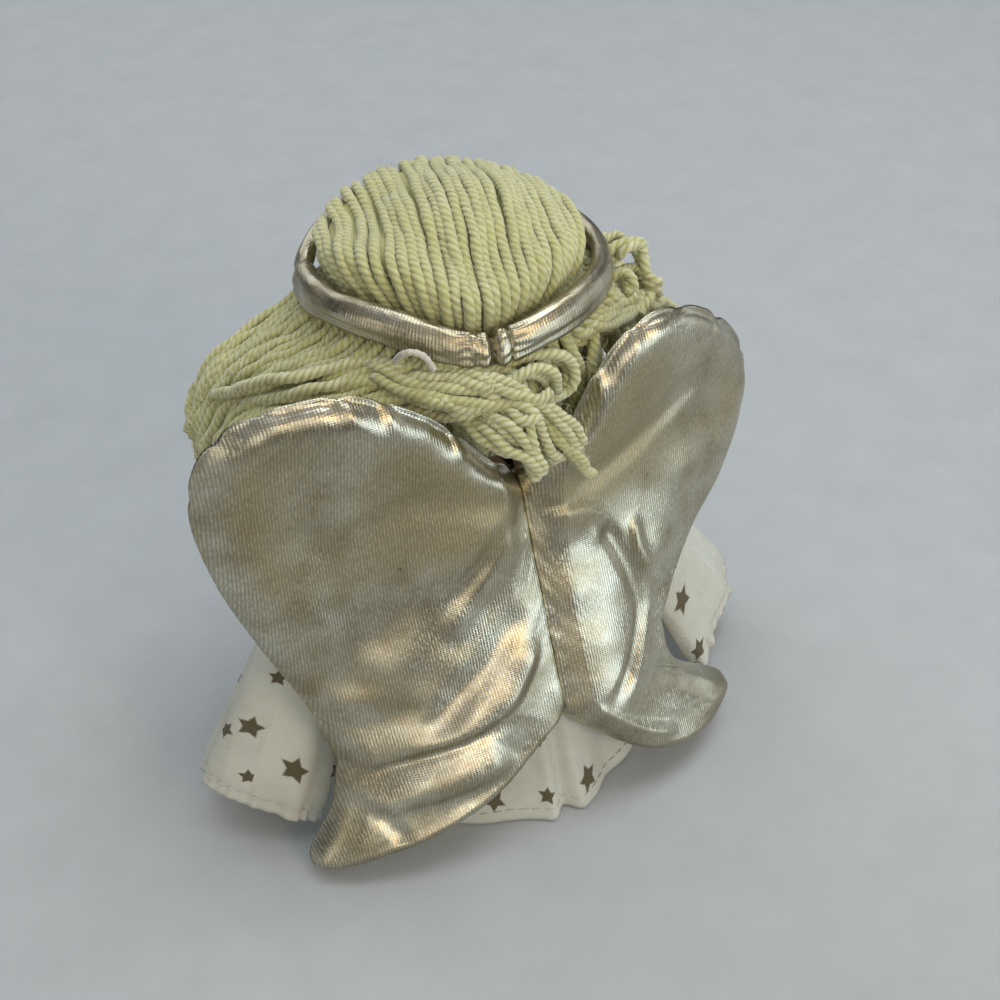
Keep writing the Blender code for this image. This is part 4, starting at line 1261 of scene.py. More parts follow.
@dataclass
class HeadForm:
    """The head's round form in its own directions, turned a little to its right, and the wig line on it."""

    centre: Triple = (0.0, -5.0, 85.0)
    half: Triple = (22.8, 22.0, 25.4)
    turn: float = math.radians(-15)
    cap_back: float = math.radians(122)
    cap_side: float = math.radians(100)
    cap_front: float = math.radians(48)
    halo_heights: tuple[Pair, ...] = ((-150, 99.6), (-120, 98.2), (-90, 98.0), (-69, 98.2), (-49, 98.8),
                                      (-32, 98.6), (-18, 98.0), (-8, 97.0), (0, 96.8), (8, 96.9), (20, 98.3),
                                      (36, 99.8), (54, 99.8), (71, 98.9), (90, 98.0), (99, 97.7),
                                      (110, 98.6), (120, 99.8), (150, 101.2), (170, 101.4), (180, 101.0))
    yarn: float = 2.4
    clear: float = 0.5

    def turned(self, points: Array) -> Array:
        """Points of the head's own directions, in the doll's."""
        c, s = math.cos(self.turn), math.sin(self.turn)
        return np.stack((c * points[..., 0] - s * points[..., 1], s * points[..., 0] + c * points[..., 1],
                         points[..., 2]), -1)

    def point(self, polar: Array, angle: Array, grow: float = 0.0) -> Array:
        """Points on the head, or grown out from it, by the angles down from the crown and from the back."""
        half = np.array(self.half) + grow
        return np.array(self.centre) + stacked(
            half[0] * np.sin(polar) * np.sin(angle), half[1] * np.sin(polar) * np.cos(angle),
            half[2] * np.cos(polar))

    def out_to(self, start: Array, directions: Array, grow: Array) -> Array:
        """Where lines from a place inside the head leave it.

        Args:
            start: The place.
            directions: Directions of the lines.
            grow: Distance off the head, one for all lines or one each.

        Returns:
            Points in the head's own directions.
        """
        half = np.array(self.half) + np.asarray(grow, float)[..., None]
        o, d = (start - np.array(self.centre)) / half, directions / half
        a, b, c = (d * d).sum(-1), (o * d).sum(-1), (o * o).sum(-1) - 1
        return start + directions * ((-b + np.sqrt(b * b - a * c)) / a)[..., None]

    def angles(self, points: Array) -> tuple[Array, Array]:
        """Polar angle and angle from the back of points in the head's own directions."""
        x, y, z = np.moveaxis((points - np.array(self.centre)) / np.array(self.half), -1, 0)
        return np.arctan2(np.hypot(x, y), z), np.arctan2(x, y)

    def wig_edge(self, angle: Array) -> Array:
        """How far down from the crown the wig reaches, by the angle from the back.

        Args:
            angle: Angle from the back.

        Returns:
            The angle down from the crown.
        """
        back = 0.5 + 0.5 * np.cos(angle)
        behind = self.cap_side + (self.cap_back - self.cap_side) * (2 * back - 1)
        before = self.cap_front + (self.cap_side - self.cap_front) * (2 * np.minimum(back, 0.5)) ** 0.7
        return np.where(back > 0.5, behind, before)

    def halo_height(self, angle: Array) -> Array:
        """The halo's height by the angle from the back: it dips to its join and rises over the brow.

        Args:
            angle: Angle from the back.

        Returns:
            The height there.
        """
        turns, heights = zip(*self.halo_heights)
        near = np.degrees(angle)[..., None] + np.linspace(-5, 5, 7)
        return np.interp(near, turns, heights, period=360).mean(-1)

    def wig_half(self, height: Array, grow: float) -> tuple[Array, Array]:
        """Half width and half depth of the wig at a height."""
        by = np.sqrt(np.maximum(1 - ((height - self.centre[2]) / (self.half[2] + grow)) ** 2, 0))
        return (self.half[0] + grow) * by, (self.half[1] + grow) * by


@dataclass
class Face(SubAssembly):
    """The stuffed head and neck, with worked eyes and a stitched mouth."""

    form: HeadForm = field(default_factory=HeadForm)
    eye: Pair = (7.5, 83.0)
    eye_half: Pair = (1.5, 2.0)
    mouth_half: float = 3.6
    mouth_z: float = 75.5
    mouth_sag: float = 1.2
    cheek: Triple = (10.5, 77.0, 4.2)
    neck_z: float = 63.0
    neck_radius: float = 6.9

    def face_y(self, x: Array, z: Array, proud: float) -> Array:
        """How far forward the face stands, plus a little."""
        half, centre = self.form.half, self.form.centre
        return centre[1] - half[1] * np.sqrt(1 - (x / half[0]) ** 2
                                             - ((z - centre[2]) / half[2]) ** 2) - proud

    def head(self, palette: Palette) -> Piece:
        """The stuffed head, powdered on the cheeks, drawn in round the neck and dimpled at the mouth.

        Args:
            palette: The shared finishes.

        Returns:
            The head.
        """
        polar = np.linspace(0.02, math.radians(152), 84)[:, None]
        angle = round_angles(128)[None]
        gather = ease(math.radians(128), math.radians(152), polar)
        uneven = ripple(5, np.sin(angle) * 1.4, np.cos(angle) * 1.4, polar)
        grow = -0.25 * gather * (1 + np.cos(22 * angle)) + 0.12 * uneven
        direction = unit(self.form.point(polar, angle) - np.array(self.form.centre))
        grid = self.form.point(polar, angle) + direction * (grow - 0.15)[..., None]
        x, z, front = np.abs(grid[..., 0]), grid[..., 2], grid[..., 1] < self.form.centre[1]
        side, high, reach = self.cheek
        powder = 0.55 * np.exp(-((x - side) ** 2 + (z - high) ** 2) / reach**2) * front
        nose = np.exp(-(x**2 + (z - 79.5) ** 2) / 1.9**2) * front
        grid[..., 1] -= 1.1 * nose
        mean = self.form.half[0]
        places = stacked(np.linspace(-math.pi, math.pi, 129)[None] * mean, polar * mean)
        maker = MeshMaker()
        maker.add_rings(self.form.turned(grid), places, powder=powder)
        return settle(maker, "stuffed_head", palette.skin, "head", "skin_cloth", "head_cover",
                      "head_filling", fill=0.9)

    def neck(self, palette: Palette) -> Piece:
        """The stuffed neck, round below.

        Args:
            palette: The shared finishes.

        Returns:
            The neck.
        """
        line = curve_through([(0.8, -6.9), (3.4, -6.1), (5.8, -3.6), (6.8, -0.4), (6.4, 1.5), (4.5, 2.3),
                              (1.0, 2.5)], 0.6)
        angle = round_angles(48)
        radius = line[:, :1] * (1 + 0.02 * np.cos(12 * angle))
        grid = stacked(radius * np.sin(angle), radius * np.cos(angle), self.neck_z + line[:, 1:])
        places = stacked(np.linspace(0, TURN * self.neck_radius, 49)[None],
                         np.arange(len(line))[:, None] * 0.6)
        maker = MeshMaker()
        maker.add_rings(grid, places)
        return settle(maker, "stuffed_neck", palette.skin, "neck", "skin_cloth", "neck", fill=0.9)

    def worked_eye(self, side: Side, palette: Palette) -> Piece:
        """An eye in satin stitch: threads laid side by side across an upright oval.

        Args:
            side: The doll's own left or right.
            palette: The shared finishes.

        Returns:
            The eye.
        """
        maker = MeshMaker()
        middle, height = self.eye
        for number, share in enumerate(np.linspace(-0.94, 0.94, 13)):
            reach = self.eye_half[0] * math.sqrt(1 - share * share)
            x = middle * side.value + np.linspace(-reach, reach, 9)
            z = height + self.eye_half[1] * share + 0.05 * np.sin(np.linspace(0, 5, 9) + number)
            rise = 0.30 + 0.45 * np.sin(np.linspace(0.2, math.pi - 0.2, 9))
            path = np.stack((x, self.face_y(x, z, 0.0) - rise, z), 1)
            size = np.full(9, 0.21)
            maker.add_tube(self.form.turned(path), size, UP, sides=7, shift=number * 0.4)
        return settle(maker, f"{side.word}_worked_eye", palette.eye_thread, "head", "dark_thread",
                      f"{side.word}_eye")

    def mouth(self, palette: Palette) -> Piece:
        """The mouth in back stitch: five stitches end to end on a shallow curve.

        Args:
            palette: The shared finishes.

        Returns:
            The mouth.
        """
        maker = MeshMaker()
        marks = np.linspace(-1, 1, 6)
        for number, (a, b) in enumerate(zip(marks, marks[1:])):
            share = np.linspace(a - 0.03, b + 0.03, 9)
            x, z = self.mouth_half * share, self.mouth_z + self.mouth_sag * share**2
            rise = 0.22 + 0.38 * np.sin(np.linspace(0.1, math.pi - 0.1, 9))
            path = np.stack((x, self.face_y(x, z, 0.0) - rise, z), 1)
            size = 0.34 * (0.6 + 0.4 * np.sin(np.linspace(0, math.pi, 9)))
            maker.add_tube(self.form.turned(path), size, UP, sides=8, shift=number * 0.5)
        return settle(maker, "back_stitched_mouth", palette.mouth_thread, "head", "dark_thread",
                      "mouth_stitch")

    def build(self, palette: Palette) -> list[Piece]:
        """Makes the head, the neck and the face."""
        return [self.head(palette), self.neck(palette), self.worked_eye(Side.LEFT, palette),
                self.worked_eye(Side.RIGHT, palette), self.mouth(palette)]


@dataclass(frozen=True)
class Strand:
    """A length of three-ply yarn as a twisted tube with grooves between its plies and a few stray fibres."""

    radius: float = 1.0
    plies: int = 3
    pitch: float = 3.7
    groove: float = 0.11
    nap: float = 0.05
    sides: int = 12
    step: float = 0.66
    fibres_per_mm: float = 0.75
    fibre_radius: float = 0.035

    def lay(self, maker: MeshMaker, points: Array, number: int, faded: float = 0.0,
            wander: float = 0.12) -> None:
        """Adds one strand.

        Args:
            maker: The mesh that it joins.
            points: Points that it runs through.
            number: Its number, which sets its phase and its small unevenness.
            faded: How bleached it is, from 0 to 1.
            wander: How far it strays from its line.
        """
        draw = np.random.default_rng(1000 + number)
        path = curve_through(points, self.step)
        along = np.arange(len(path)) * self.step
        across, third = cross_directions(path, unit(draw.normal(size=3)))
        stray = [wander * (np.sin(along / draw.uniform(2.2, 4.5) + draw.uniform(0, TURN))
                           + 0.5 * np.sin(along / draw.uniform(0.9, 1.6) + draw.uniform(0, TURN)))
                 for _ in range(2)]
        path = path + across * stray[0][:, None] + third * stray[1][:, None]
        size = self.radius * draw.uniform(0.94, 1.06)
        size = size * (1 + 0.04 * np.sin(along / 1.7 + draw.uniform(0, TURN)))
        ends = np.minimum(along, along[-1] - along)
        size = size * (0.72 + 0.28 * np.clip(ends / 0.8, 0, 1))
        angle = round_angles(self.sides)
        phase = TURN * along / (self.pitch * draw.uniform(0.92, 1.1)) + draw.uniform(0, TURN)
        crest = np.broadcast_to(np.abs(np.cos(self.plies * angle / 2)), (len(path), self.sides))
        wound = angle[None] - phase[:, None]
        radius = size[:, None] * (1 - self.groove * (1 - crest) + self.nap * draw.normal(size=crest.shape))
        grid = swept(path, across, third, radius * np.cos(wound), radius * np.sin(wound))
        places = stacked(np.linspace(0, TURN * self.radius, self.sides + 1)[None] + 23.0 * number,
                         along[:, None])
        # groove marks the ply grooves, where the yarn finish lays painted shade
        maker.add_rings(grid, places, groove=1 - crest, faded=np.full_like(crest, faded))
        for _ in range(int(along[-1] * self.fibres_per_mm)):
            k, turn = draw.integers(1, len(path) - 1), draw.uniform(0, TURN)
            out, ahead = across[k] * math.cos(turn) + third[k] * math.sin(turn), unit(path[k] - path[k - 1])
            start, reach = path[k] + out * size[k] * 0.85, draw.uniform(0.5, 1.5)
            slant, bow = ahead * draw.normal(0, 1.3), draw.normal(0, 0.5, 3)
            share = np.linspace(0, 1, 4)[:, None]
            fibre = start + out * reach * (2 - share) * share + slant * share**1.5 + bow * share**2
            fine = np.linspace(self.fibre_radius, self.fibre_radius * 0.4, 4)
            maker.add_tube(fibre, fine, ahead, sides=3, shift=23.0 * number, groove=0 * fine,
                           faded=0 * fine + 0.4)


BUNCH_STRANDS = (
    ((24.0, 5.8, 86.2), (20.1, 12.2, 90.3), (15.8, 16.4, 92.6), (10.0, 20.3, 93.1), (5.0, 23.3, 91.9),
     (2.0, 25.6, 90.4), (-0.4, 28.0, 88.4), (-3.5, 29.5, 85.2), (-6.3, 30.0, 80.2)),
    ((24.3, 3.1, 87.3), (19.9, 10.8, 90.5), (15.1, 16.6, 91.6), (10.3, 20.9, 92.5), (5.4, 24.4, 91.2),
     (2.3, 27.5, 89.7), (-0.7, 29.0, 86.9), (-3.2, 30.0, 83.4), (-5.3, 30.0, 78.9)),
    ((18.4, 13.5, 89.3), (15.5, 17.2, 90.3), (14.5, 19.7, 90.5), (13.4, 21.6, 89.5), (11.6, 23.2, 89.0),
     (8.5, 24.3, 89.6), (5.1, 25.7, 89.6), (2.9, 28.0, 88.5), (1.5, 29.5, 84.9), (-0.2, 30.5, 80.7),
     (-1.8, 30.5, 78.5)),
    ((16.7, 13.1, 93.5), (12.4, 16.5, 94.3), (8.3, 19.3, 93.5), (5.4, 21.6, 92.1), (3.5, 24.4, 90.4),
     (3.4, 27.5, 88.3), (3.4, 30.0, 84.2), (3.0, 31.0, 80.5), (2.3, 31.0, 77.0)),
    ((15.3, 14.6, 93.5), (11.7, 17.6, 93.8), (8.3, 21.6, 93.0), (5.4, 25.4, 91.2), (3.8, 26.4, 90.4),
     (1.1, 27.3, 89.8), (-1.4, 27.4, 90.3)),
    ((18.1, 13.7, 86.1), (14.2, 18.0, 85.8), (10.8, 21.5, 86.1), (9.3, 26.5, 85.1), (7.5, 29.0, 83.3),
     (5.1, 30.5, 82.5), (3.4, 31.0, 79.7), (2.8, 31.0, 77.7)),
    ((13.4, 17.7, 88.4), (11.3, 20.6, 88.6), (8.6, 23.4, 87.6), (7.7, 28.0, 88.0), (5.6, 29.5, 85.3),
     (3.7, 30.5, 81.9), (1.7, 31.0, 79.1)),
    ((10.0, 20.4, 90.3), (7.5, 23.4, 90.7), (5.6, 25.7, 89.2), (5.0, 28.5, 88.2), (2.5, 29.5, 88.0)),
    ((6.9, 19.6, 92.1), (2.6, 20.5, 93.0), (-0.8, 20.8, 93.8), (-5.4, 21.0, 93.0), (-8.4, 21.5, 90.4),
     (-8.6, 22.3, 87.5), (-6.5, 22.8, 85.0), (-2.3, 23.7, 86.2)),
    ((6.5, 22.6, 91.0), (3.8, 23.5, 92.0), (1.4, 24.1, 93.3), (-1.1, 24.3, 93.3), (-3.5, 24.1, 91.2),
     (-4.6, 24.0, 87.3)),
    ((7.7, 19.1, 93.0), (5.0, 20.1, 92.8), (2.7, 21.7, 91.9), (1.7, 23.7, 90.2), (3.3, 25.5, 89.7)),
    ((19.3, 11.9, 87.2), (17.4, 14.1, 88.7), (15.1, 16.3, 88.2), (13.0, 18.2, 85.9), (9.9, 20.9, 85.6),
     (8.6, 22.4, 84.7)),
    ((41.5, -10.0, 82.6), (39.5, -4.7, 86.0), (37.0, -0.7, 88.2), (33.5, 2.5, 90.0), (29.0, 5.0, 91.8),
     (23.5, 7.5, 93.2), (19.7, 10.9, 94.0), (17.9, 13.2, 93.0)),
    ((39.0, -4.1, 83.0), (35.0, 3.6, 88.0), (29.0, 7.0, 89.8), (23.0, 8.6, 91.6), (18.8, 12.6, 92.0)),
)
RIGHT_LOOPS = (
    ((-25.0, 2.6, 93.4), (-29.0, 3.2, 95.1), (-31.0, 3.8, 96.4), (-33.0, 5.3, 95.5), (-33.5, 6.3, 92.5),
     (-33.5, 7.6, 89.9), (-32.0, 9.3, 88.2), (-28.0, 11.6, 87.0)),
    ((-24.5, 4.4, 92.0), (-29.5, 5.1, 92.5), (-32.0, 6.2, 92.3), (-34.0, 8.1, 90.7), (-34.5, 8.6, 88.8),
     (-33.0, 9.3, 87.0), (-30.0, 10.1, 85.6)),
    ((-23.5, 5.4, 91.0), (-27.5, 6.7, 92.6), (-29.0, 8.3, 91.7), (-29.5, 9.4, 89.9), (-28.5, 10.4, 88.1),
     (-25.0, 12.4, 86.2)),
    ((-21.5, 7.4, 90.5), (-25.5, 7.2, 90.0), (-27.0, 9.2, 89.2), (-27.0, 10.4, 87.2), (-24.0, 12.4, 85.4)),
    ((-25.0, 0.0, 93.6), (-29.5, -0.5, 95.5), (-32.5, 0.5, 95.6), (-34.5, 3.0, 92.5), (-34.0, 5.0, 88.5),
     (-30.5, 8.0, 84.0)),
)


@dataclass
class Wig(SubAssembly):
    """The yarn wig: strands laid over the crown, a fringe, side locks, and a bunch tied at the nape."""

    form: HeadForm = field(default_factory=HeadForm)
    strand: Strand = field(default_factory=Strand)
    lay: float = math.radians(2)        # the strands are laid a little askew on the head
    lay_rise: float = math.radians(6)
    lay_sunk: float = 30.0              # how far under the head's middle the strands' planes meet
    crown_reach: float = math.radians(88)
    crown_spacing: float = 1.62
    crown_puff: float = 3.1
    crown_lean: float = 1.0             # the crown stands higher on the right
    halo_press: float = 1.0
    lock_tip: Triple = (44.5, -7.0, 70.0)
    lock_layers: tuple[tuple[float, int], ...] = ((2.3, 22), (0.3, 19), (-1.8, 16))
    bunch_radius: float = 4.4
    bunch_from: float = math.radians(58)
    bunch_to: float = math.radians(6)
    bunch_z: float = 91.0
    bunch_sag: float = 3.0
    bunch_ends: Triple = (-9.0, 28.5, 71.5)

    def directions(self) -> tuple[Array, Array, Array]:
        """The directions of the strands.

        Returns:
            The direction that they run to the back, and two directions square to it, the first upwards.
        """
        ahead = np.array((math.sin(self.lay) * math.cos(self.lay_rise),
                          math.cos(self.lay) * math.cos(self.lay_rise), -math.sin(self.lay_rise)))
        rise = unit(UP - UP @ ahead * ahead)
        return ahead, rise, np.cross(ahead, rise)

    def fullness(self, points: Array) -> Array:
        """How far the crown stands off the head's form: out over the halo, in under it, and up on the right.

        Args:
            points: Places in the head's own directions.

        Returns:
            Millimetres at each.
        """
        above = points[..., 2] - self.form.halo_height(self.form.angles(points)[1])
        full = self.crown_puff * (1 + 0.4 * ease(6, 18, points[..., 0]))
        return (full * bell((above - 4.0) / 3.2) - self.halo_press * bell(above / 2.2)
                + self.crown_lean * ease(5, 10, above) * np.clip(-points[..., 0] / 14 - 0.25, -0.5, 1))

    def cap(self, maker: MeshMaker) -> None:
        """Adds the close layer of yarn that shows between the crown's strands, coloured as painted shade.

        Args:
            maker: The mesh that it joins.
        """
        angle = round_angles(96)
        share = np.linspace(0.03, 1, 40)[:, None]
        polar = share * (self.form.wig_edge(angle) - 0.03)
        grid = self.form.point(polar, angle, self.form.clear)
        stand = np.maximum(self.fullness(grid), -0.3)
        grid = grid + unit(grid - np.array(self.form.centre)) * stand[..., None]
        places = stacked(np.linspace(0, TURN, 97)[None] * 22, share * 45)
        # the whole cap takes the groove colour: painted shade between the crown's strands
        deep = np.full(grid.shape[:2], 1.0)
        maker.add_rings(self.form.turned(grid), places, groove=deep, faded=0 * deep)

    def crown(self, palette: Palette) -> Piece:
        """Strands from the brow over the crown to the nape, full above the halo and pressed in under it.

        Args:
            palette: The shared finishes.

        Returns:
            The crown.
        """
        maker = MeshMaker()
        self.cap(maker)
        draw = np.random.default_rng(11)
        ahead, rise, across = self.directions()
        middle = np.array(self.form.centre)
        spacing = self.crown_spacing / (self.form.half[2] - 0.5)
        sweep = np.radians(np.linspace(-30, 200, 110))
        for number, tilt in enumerate(np.arange(-self.crown_reach, self.crown_reach, spacing)):
            tilt = tilt + draw.normal(0, 0.007)
            top = self.form.half[2] * (math.sin(tilt) * across + math.cos(tilt) * rise) + self.lay_sunk * rise
            up = unit(top)
            foot = middle + (self.lay_sunk * rise @ up) * up - self.lay_sunk * rise
            lean = 0.35 * np.sin(1.5 * sweep + draw.uniform(0, TURN))[:, None] * np.cross(ahead, up)
            rays = np.cos(sweep)[:, None] * ahead + np.sin(sweep)[:, None] * up
            level = self.form.clear + self.strand.radius * 0.75 + 0.3 * (number % 2) + draw.uniform(0, 0.2)
            path = self.form.out_to(foot, rays, np.full(len(sweep), level)) + lean
            polar, angle = self.form.angles(path)
            kept = polar < self.form.wig_edge(angle) - 0.02
            path = path[kept]
            if len(path) < 6:
                continue
            path = path + unit(path - middle) * self.fullness(path)[:, None]
            self.strand.lay(maker, self.form.turned(path), number, faded=0.3 * draw.random())
        return settle(maker, "laid_crown_yarn", palette.yarn, "head", "yellow_yarn", "hair_crown")

    def fringe(self, palette: Palette) -> Piece:
        """Short strands that hang over the brow.

        Args:
            palette: The shared finishes.

        Returns:
            The fringe.
        """
        maker = MeshMaker()
        draw = np.random.default_rng(12)
        for number, angle in enumerate(math.pi + np.linspace(-0.95, 0.95, 19)):
            top = float(self.form.wig_edge(np.array(angle))) - 0.10
            low = max(math.radians(68), top + 0.16) + draw.normal(0, 0.03)
            polar = np.linspace(top, low, 8)
            drift = angle + np.linspace(0, draw.normal(0, 0.05), 8)
            grow = self.form.clear + self.strand.radius * 0.95 + 0.3 * np.sin(np.linspace(0, math.pi, 8))
            path = np.stack([self.form.point(np.array(p), np.array(a), g)
                             for p, a, g in zip(polar, drift, grow)])
            self.strand.lay(maker, self.form.turned(path), 200 + number, faded=0.1 * draw.random())
        return settle(maker, "brow_fringe_yarn", palette.yarn, "head", "yellow_yarn", "hair_fringe")

    def lock(self, side: Side, palette: Palette) -> Piece:
        """The strands of a side lock, in layers that fan out from under the halo, on the right with loops.

        Args:
            side: The doll's own left or right.
            palette: The shared finishes.

        Returns:
            The lock.
        """
        maker = MeshMaker()
        draw = np.random.default_rng(20 + side.value)
        tip, flip = np.array(self.lock_tip), np.array((side.value, 1.0, 1.0))
        number = 300 + 100 * (side is Side.LEFT)
        for layer, (off, count) in enumerate(self.lock_layers):
            for k in range(count):
                share = (k + 0.5 * (layer % 2)) / (count - 0.5)
                angle = math.radians(28 + 94 * share) * side.value
                depth = 12.0 - 28.0 * share
                root = self.roots(angle, 1.6 + 1.2 * layer, 2.0 - 0.6 * layer)
                under = self.roots(angle, 6.2 + layer, 3.8 + off * 0.5)
                belly = np.array((36.8 + 1.1 * off - 2.4 * (1 - share), tip[1] + depth * 0.98 + 3.0,
                                  84.5 - 2.0 * share))
                low = np.array((41.6 + off, tip[1] + depth * 0.86 + 1.5, 76.0)) + draw.normal(0, 0.7, 3)
                end = np.array((tip[0] + off * 0.6, tip[1] + depth * 0.62, tip[2]))
                end = end + draw.normal(0, (0.8, 1.0, 2.2))
                belly = belly + draw.normal(0, 0.6, 3)
                self.strand.lay(maker, np.array((root, under, belly * flip, low * flip, end * flip)), number,
                                faded=0.35 * draw.random(), wander=0.3)
                number += 1
        for k in range(26 if side is Side.RIGHT else 14):
            angle = math.radians(3 + 3.4 * k) * side.value
            wide = ease(6, 16, np.array(k)) * (side is Side.RIGHT)
            drop = np.array((1.4, 7.0, 15.0, 25.0)) + draw.normal(0, 0.5, 4)
            stand = np.array((1.6, 3.4, 3.8, 3.0)) + wide * np.array((0.4, 2.2, 4.5, 6.0)) - 1.2 * (k % 2)
            stand = stand + draw.normal(0, 0.3, 4)
            path = [self.roots(angle + 0.04 * j * draw.normal(), *place)
                    for j, place in enumerate(zip(drop, stand))]
            self.strand.lay(maker, np.array(path), number, faded=0.2 * draw.random(), wander=0.25)
            number += 1
        for loop in RIGHT_LOOPS if side is Side.RIGHT else ():
            for _ in range(2):
                jitter = draw.normal(0, 0.8, (len(loop), 3))
                self.strand.lay(maker, np.array(loop) + jitter, number, faded=0.2 + 0.3 * draw.random(),
                                wander=0.25)
                number += 1
        name = f"hair_{side.word}_lock"
        return settle(maker, f"{side.word}_lock_yarn", palette.yarn, "head", "yellow_yarn", name,
                      drapes_on="neck")

    def roots(self, angle: float, drop: float, grow: float) -> Array:
        """A place on the wig below the halo, by the doll's own angle from the back.

        Args:
            angle: The angle.
            drop: How far below the halo's middle.
            grow: Distance off the head.

        Returns:
            The place.
        """
        local = angle + self.form.turn
        height = float(self.form.halo_height(np.array(local))) - drop
        wide, deep = self.form.wig_half(np.array(height), grow)
        return self.form.turned(np.array((wide * math.sin(local),
                                          self.form.centre[1] + deep * math.cos(local), height)))

    def bunch_line(self) -> Array:
        """Points on the middle of the bunch, round the back of the wig and down to its ends.

        Returns:
            The points in order.
        """
        points = []
        sizes = (0.5, 0.66, 0.8, 0.9, 0.95)
        for k, size in enumerate(sizes):
            share = k / 4
            angle = self.bunch_from + (self.bunch_to - self.bunch_from) * share + self.form.turn
            height = self.bunch_z - self.bunch_sag * share**2
            grow = self.form.clear + self.form.yarn
            wide, deep = self.form.wig_half(np.array(height), grow)
            away = self.form.clear + self.bunch_radius * size
            back = self.form.centre[1] + (deep + away) * math.cos(angle)
            points.append(self.form.turned(np.array(((wide + away) * math.sin(angle), back, height))))
        last, ends = points[-1], np.array(self.bunch_ends)
        for share in (0.4, 0.75, 1.0):
            place = last + (ends - last) * share
            place[1] += self.bunch_radius * 0.5 * math.sin(math.pi * share)
            points.append(place)
        return np.array(points)

    def bunch(self, palette: Palette) -> Piece:
        """The strands drawn loosely round the back of the head, with cut ends in a tuft and a few loops.

        Args:
            palette: The shared finishes.

        Returns:
            The bunch.
        """
        maker = MeshMaker()
        draw = np.random.default_rng(41)
        line = self.bunch_line()
        number = 500
        for turn in np.arange(6) * TURN / 6:
            swing = 1.6 * np.array((0.0, math.sin(turn), math.cos(turn)))
            path = line[: draw.integers(6, 9)] + swing + draw.normal(0, 0.3, 3)
            self.strand.lay(maker, path, number, faded=0.3 * draw.random(), wander=0.3)
            number += 1
        for points in BUNCH_STRANDS:
            for twin in range(2):
                shift = draw.normal(0, 0.15, (len(points), 3)) + twin * np.array((0.3, -1.3, -1.2))
                self.strand.lay(maker, np.array(points) + shift, number, faded=0.35 + 0.3 * draw.random(),
                                wander=0.25)
                number += 1
        return settle(maker, "nape_bunch_yarn", palette.yarn, "head", "yellow_yarn", "hair_ponytail",
                      drapes_on="neck")

    def tie(self, palette: Palette) -> Piece:
        """Three turns of thread round the bunch.

        Args:
            palette: The shared finishes.

        Returns:
            The thread.
        """
        line = self.bunch_line()
        middle, ahead = line[4], unit(line[5] - line[3])
        first = unit(UP - UP @ ahead * ahead)
        third = np.cross(ahead, first)
        turn = np.linspace(0, 3.2 * TURN, 190)
        radius = self.bunch_radius * 0.42 + 0.08 * np.sin(turn * 2.3)
        path = (middle + ahead * np.linspace(-0.65, 0.65, len(turn))[:, None]
                + (first * np.cos(turn)[:, None] + third * np.sin(turn)[:, None]) * radius[:, None])
        maker = MeshMaker()
        maker.add_tube(path, 0.32, ahead, sides=8)
        return settle(maker, "bunch_thread", palette.yarn_thread, "head", "thread", "hair_tie",
                      drapes_on="neck")

    def loose_loop(self, palette: Palette) -> Piece:
        """A slack loop of white thread that stands out under the halo.

        Args:
            palette: The shared finishes.

        Returns:
            The loop.
        """
        maker = MeshMaker()
        path = curve_through([(19.6, 14.0, 95.6), (19.3, 16.0, 98.0), (18.0, 17.4, 98.8), (16.4, 18.2, 97.8),
                              (15.2, 18.8, 95.4)], 0.3)
        size = 0.55 + 0.06 * np.sin(np.arange(len(path)) * 1.7)
        maker.add_tube(path, size, UP, sides=10)
        return settle(maker, "slack_thread_loop", palette.pale_thread, "head", "thread")

    def build(self, palette: Palette) -> list[Piece]:
        """Makes the wig."""
        return [self.crown(palette), self.fringe(palette), self.lock(Side.LEFT, palette),
                self.lock(Side.RIGHT, palette), self.bunch(palette), self.tie(palette),
                self.loose_loop(palette)]


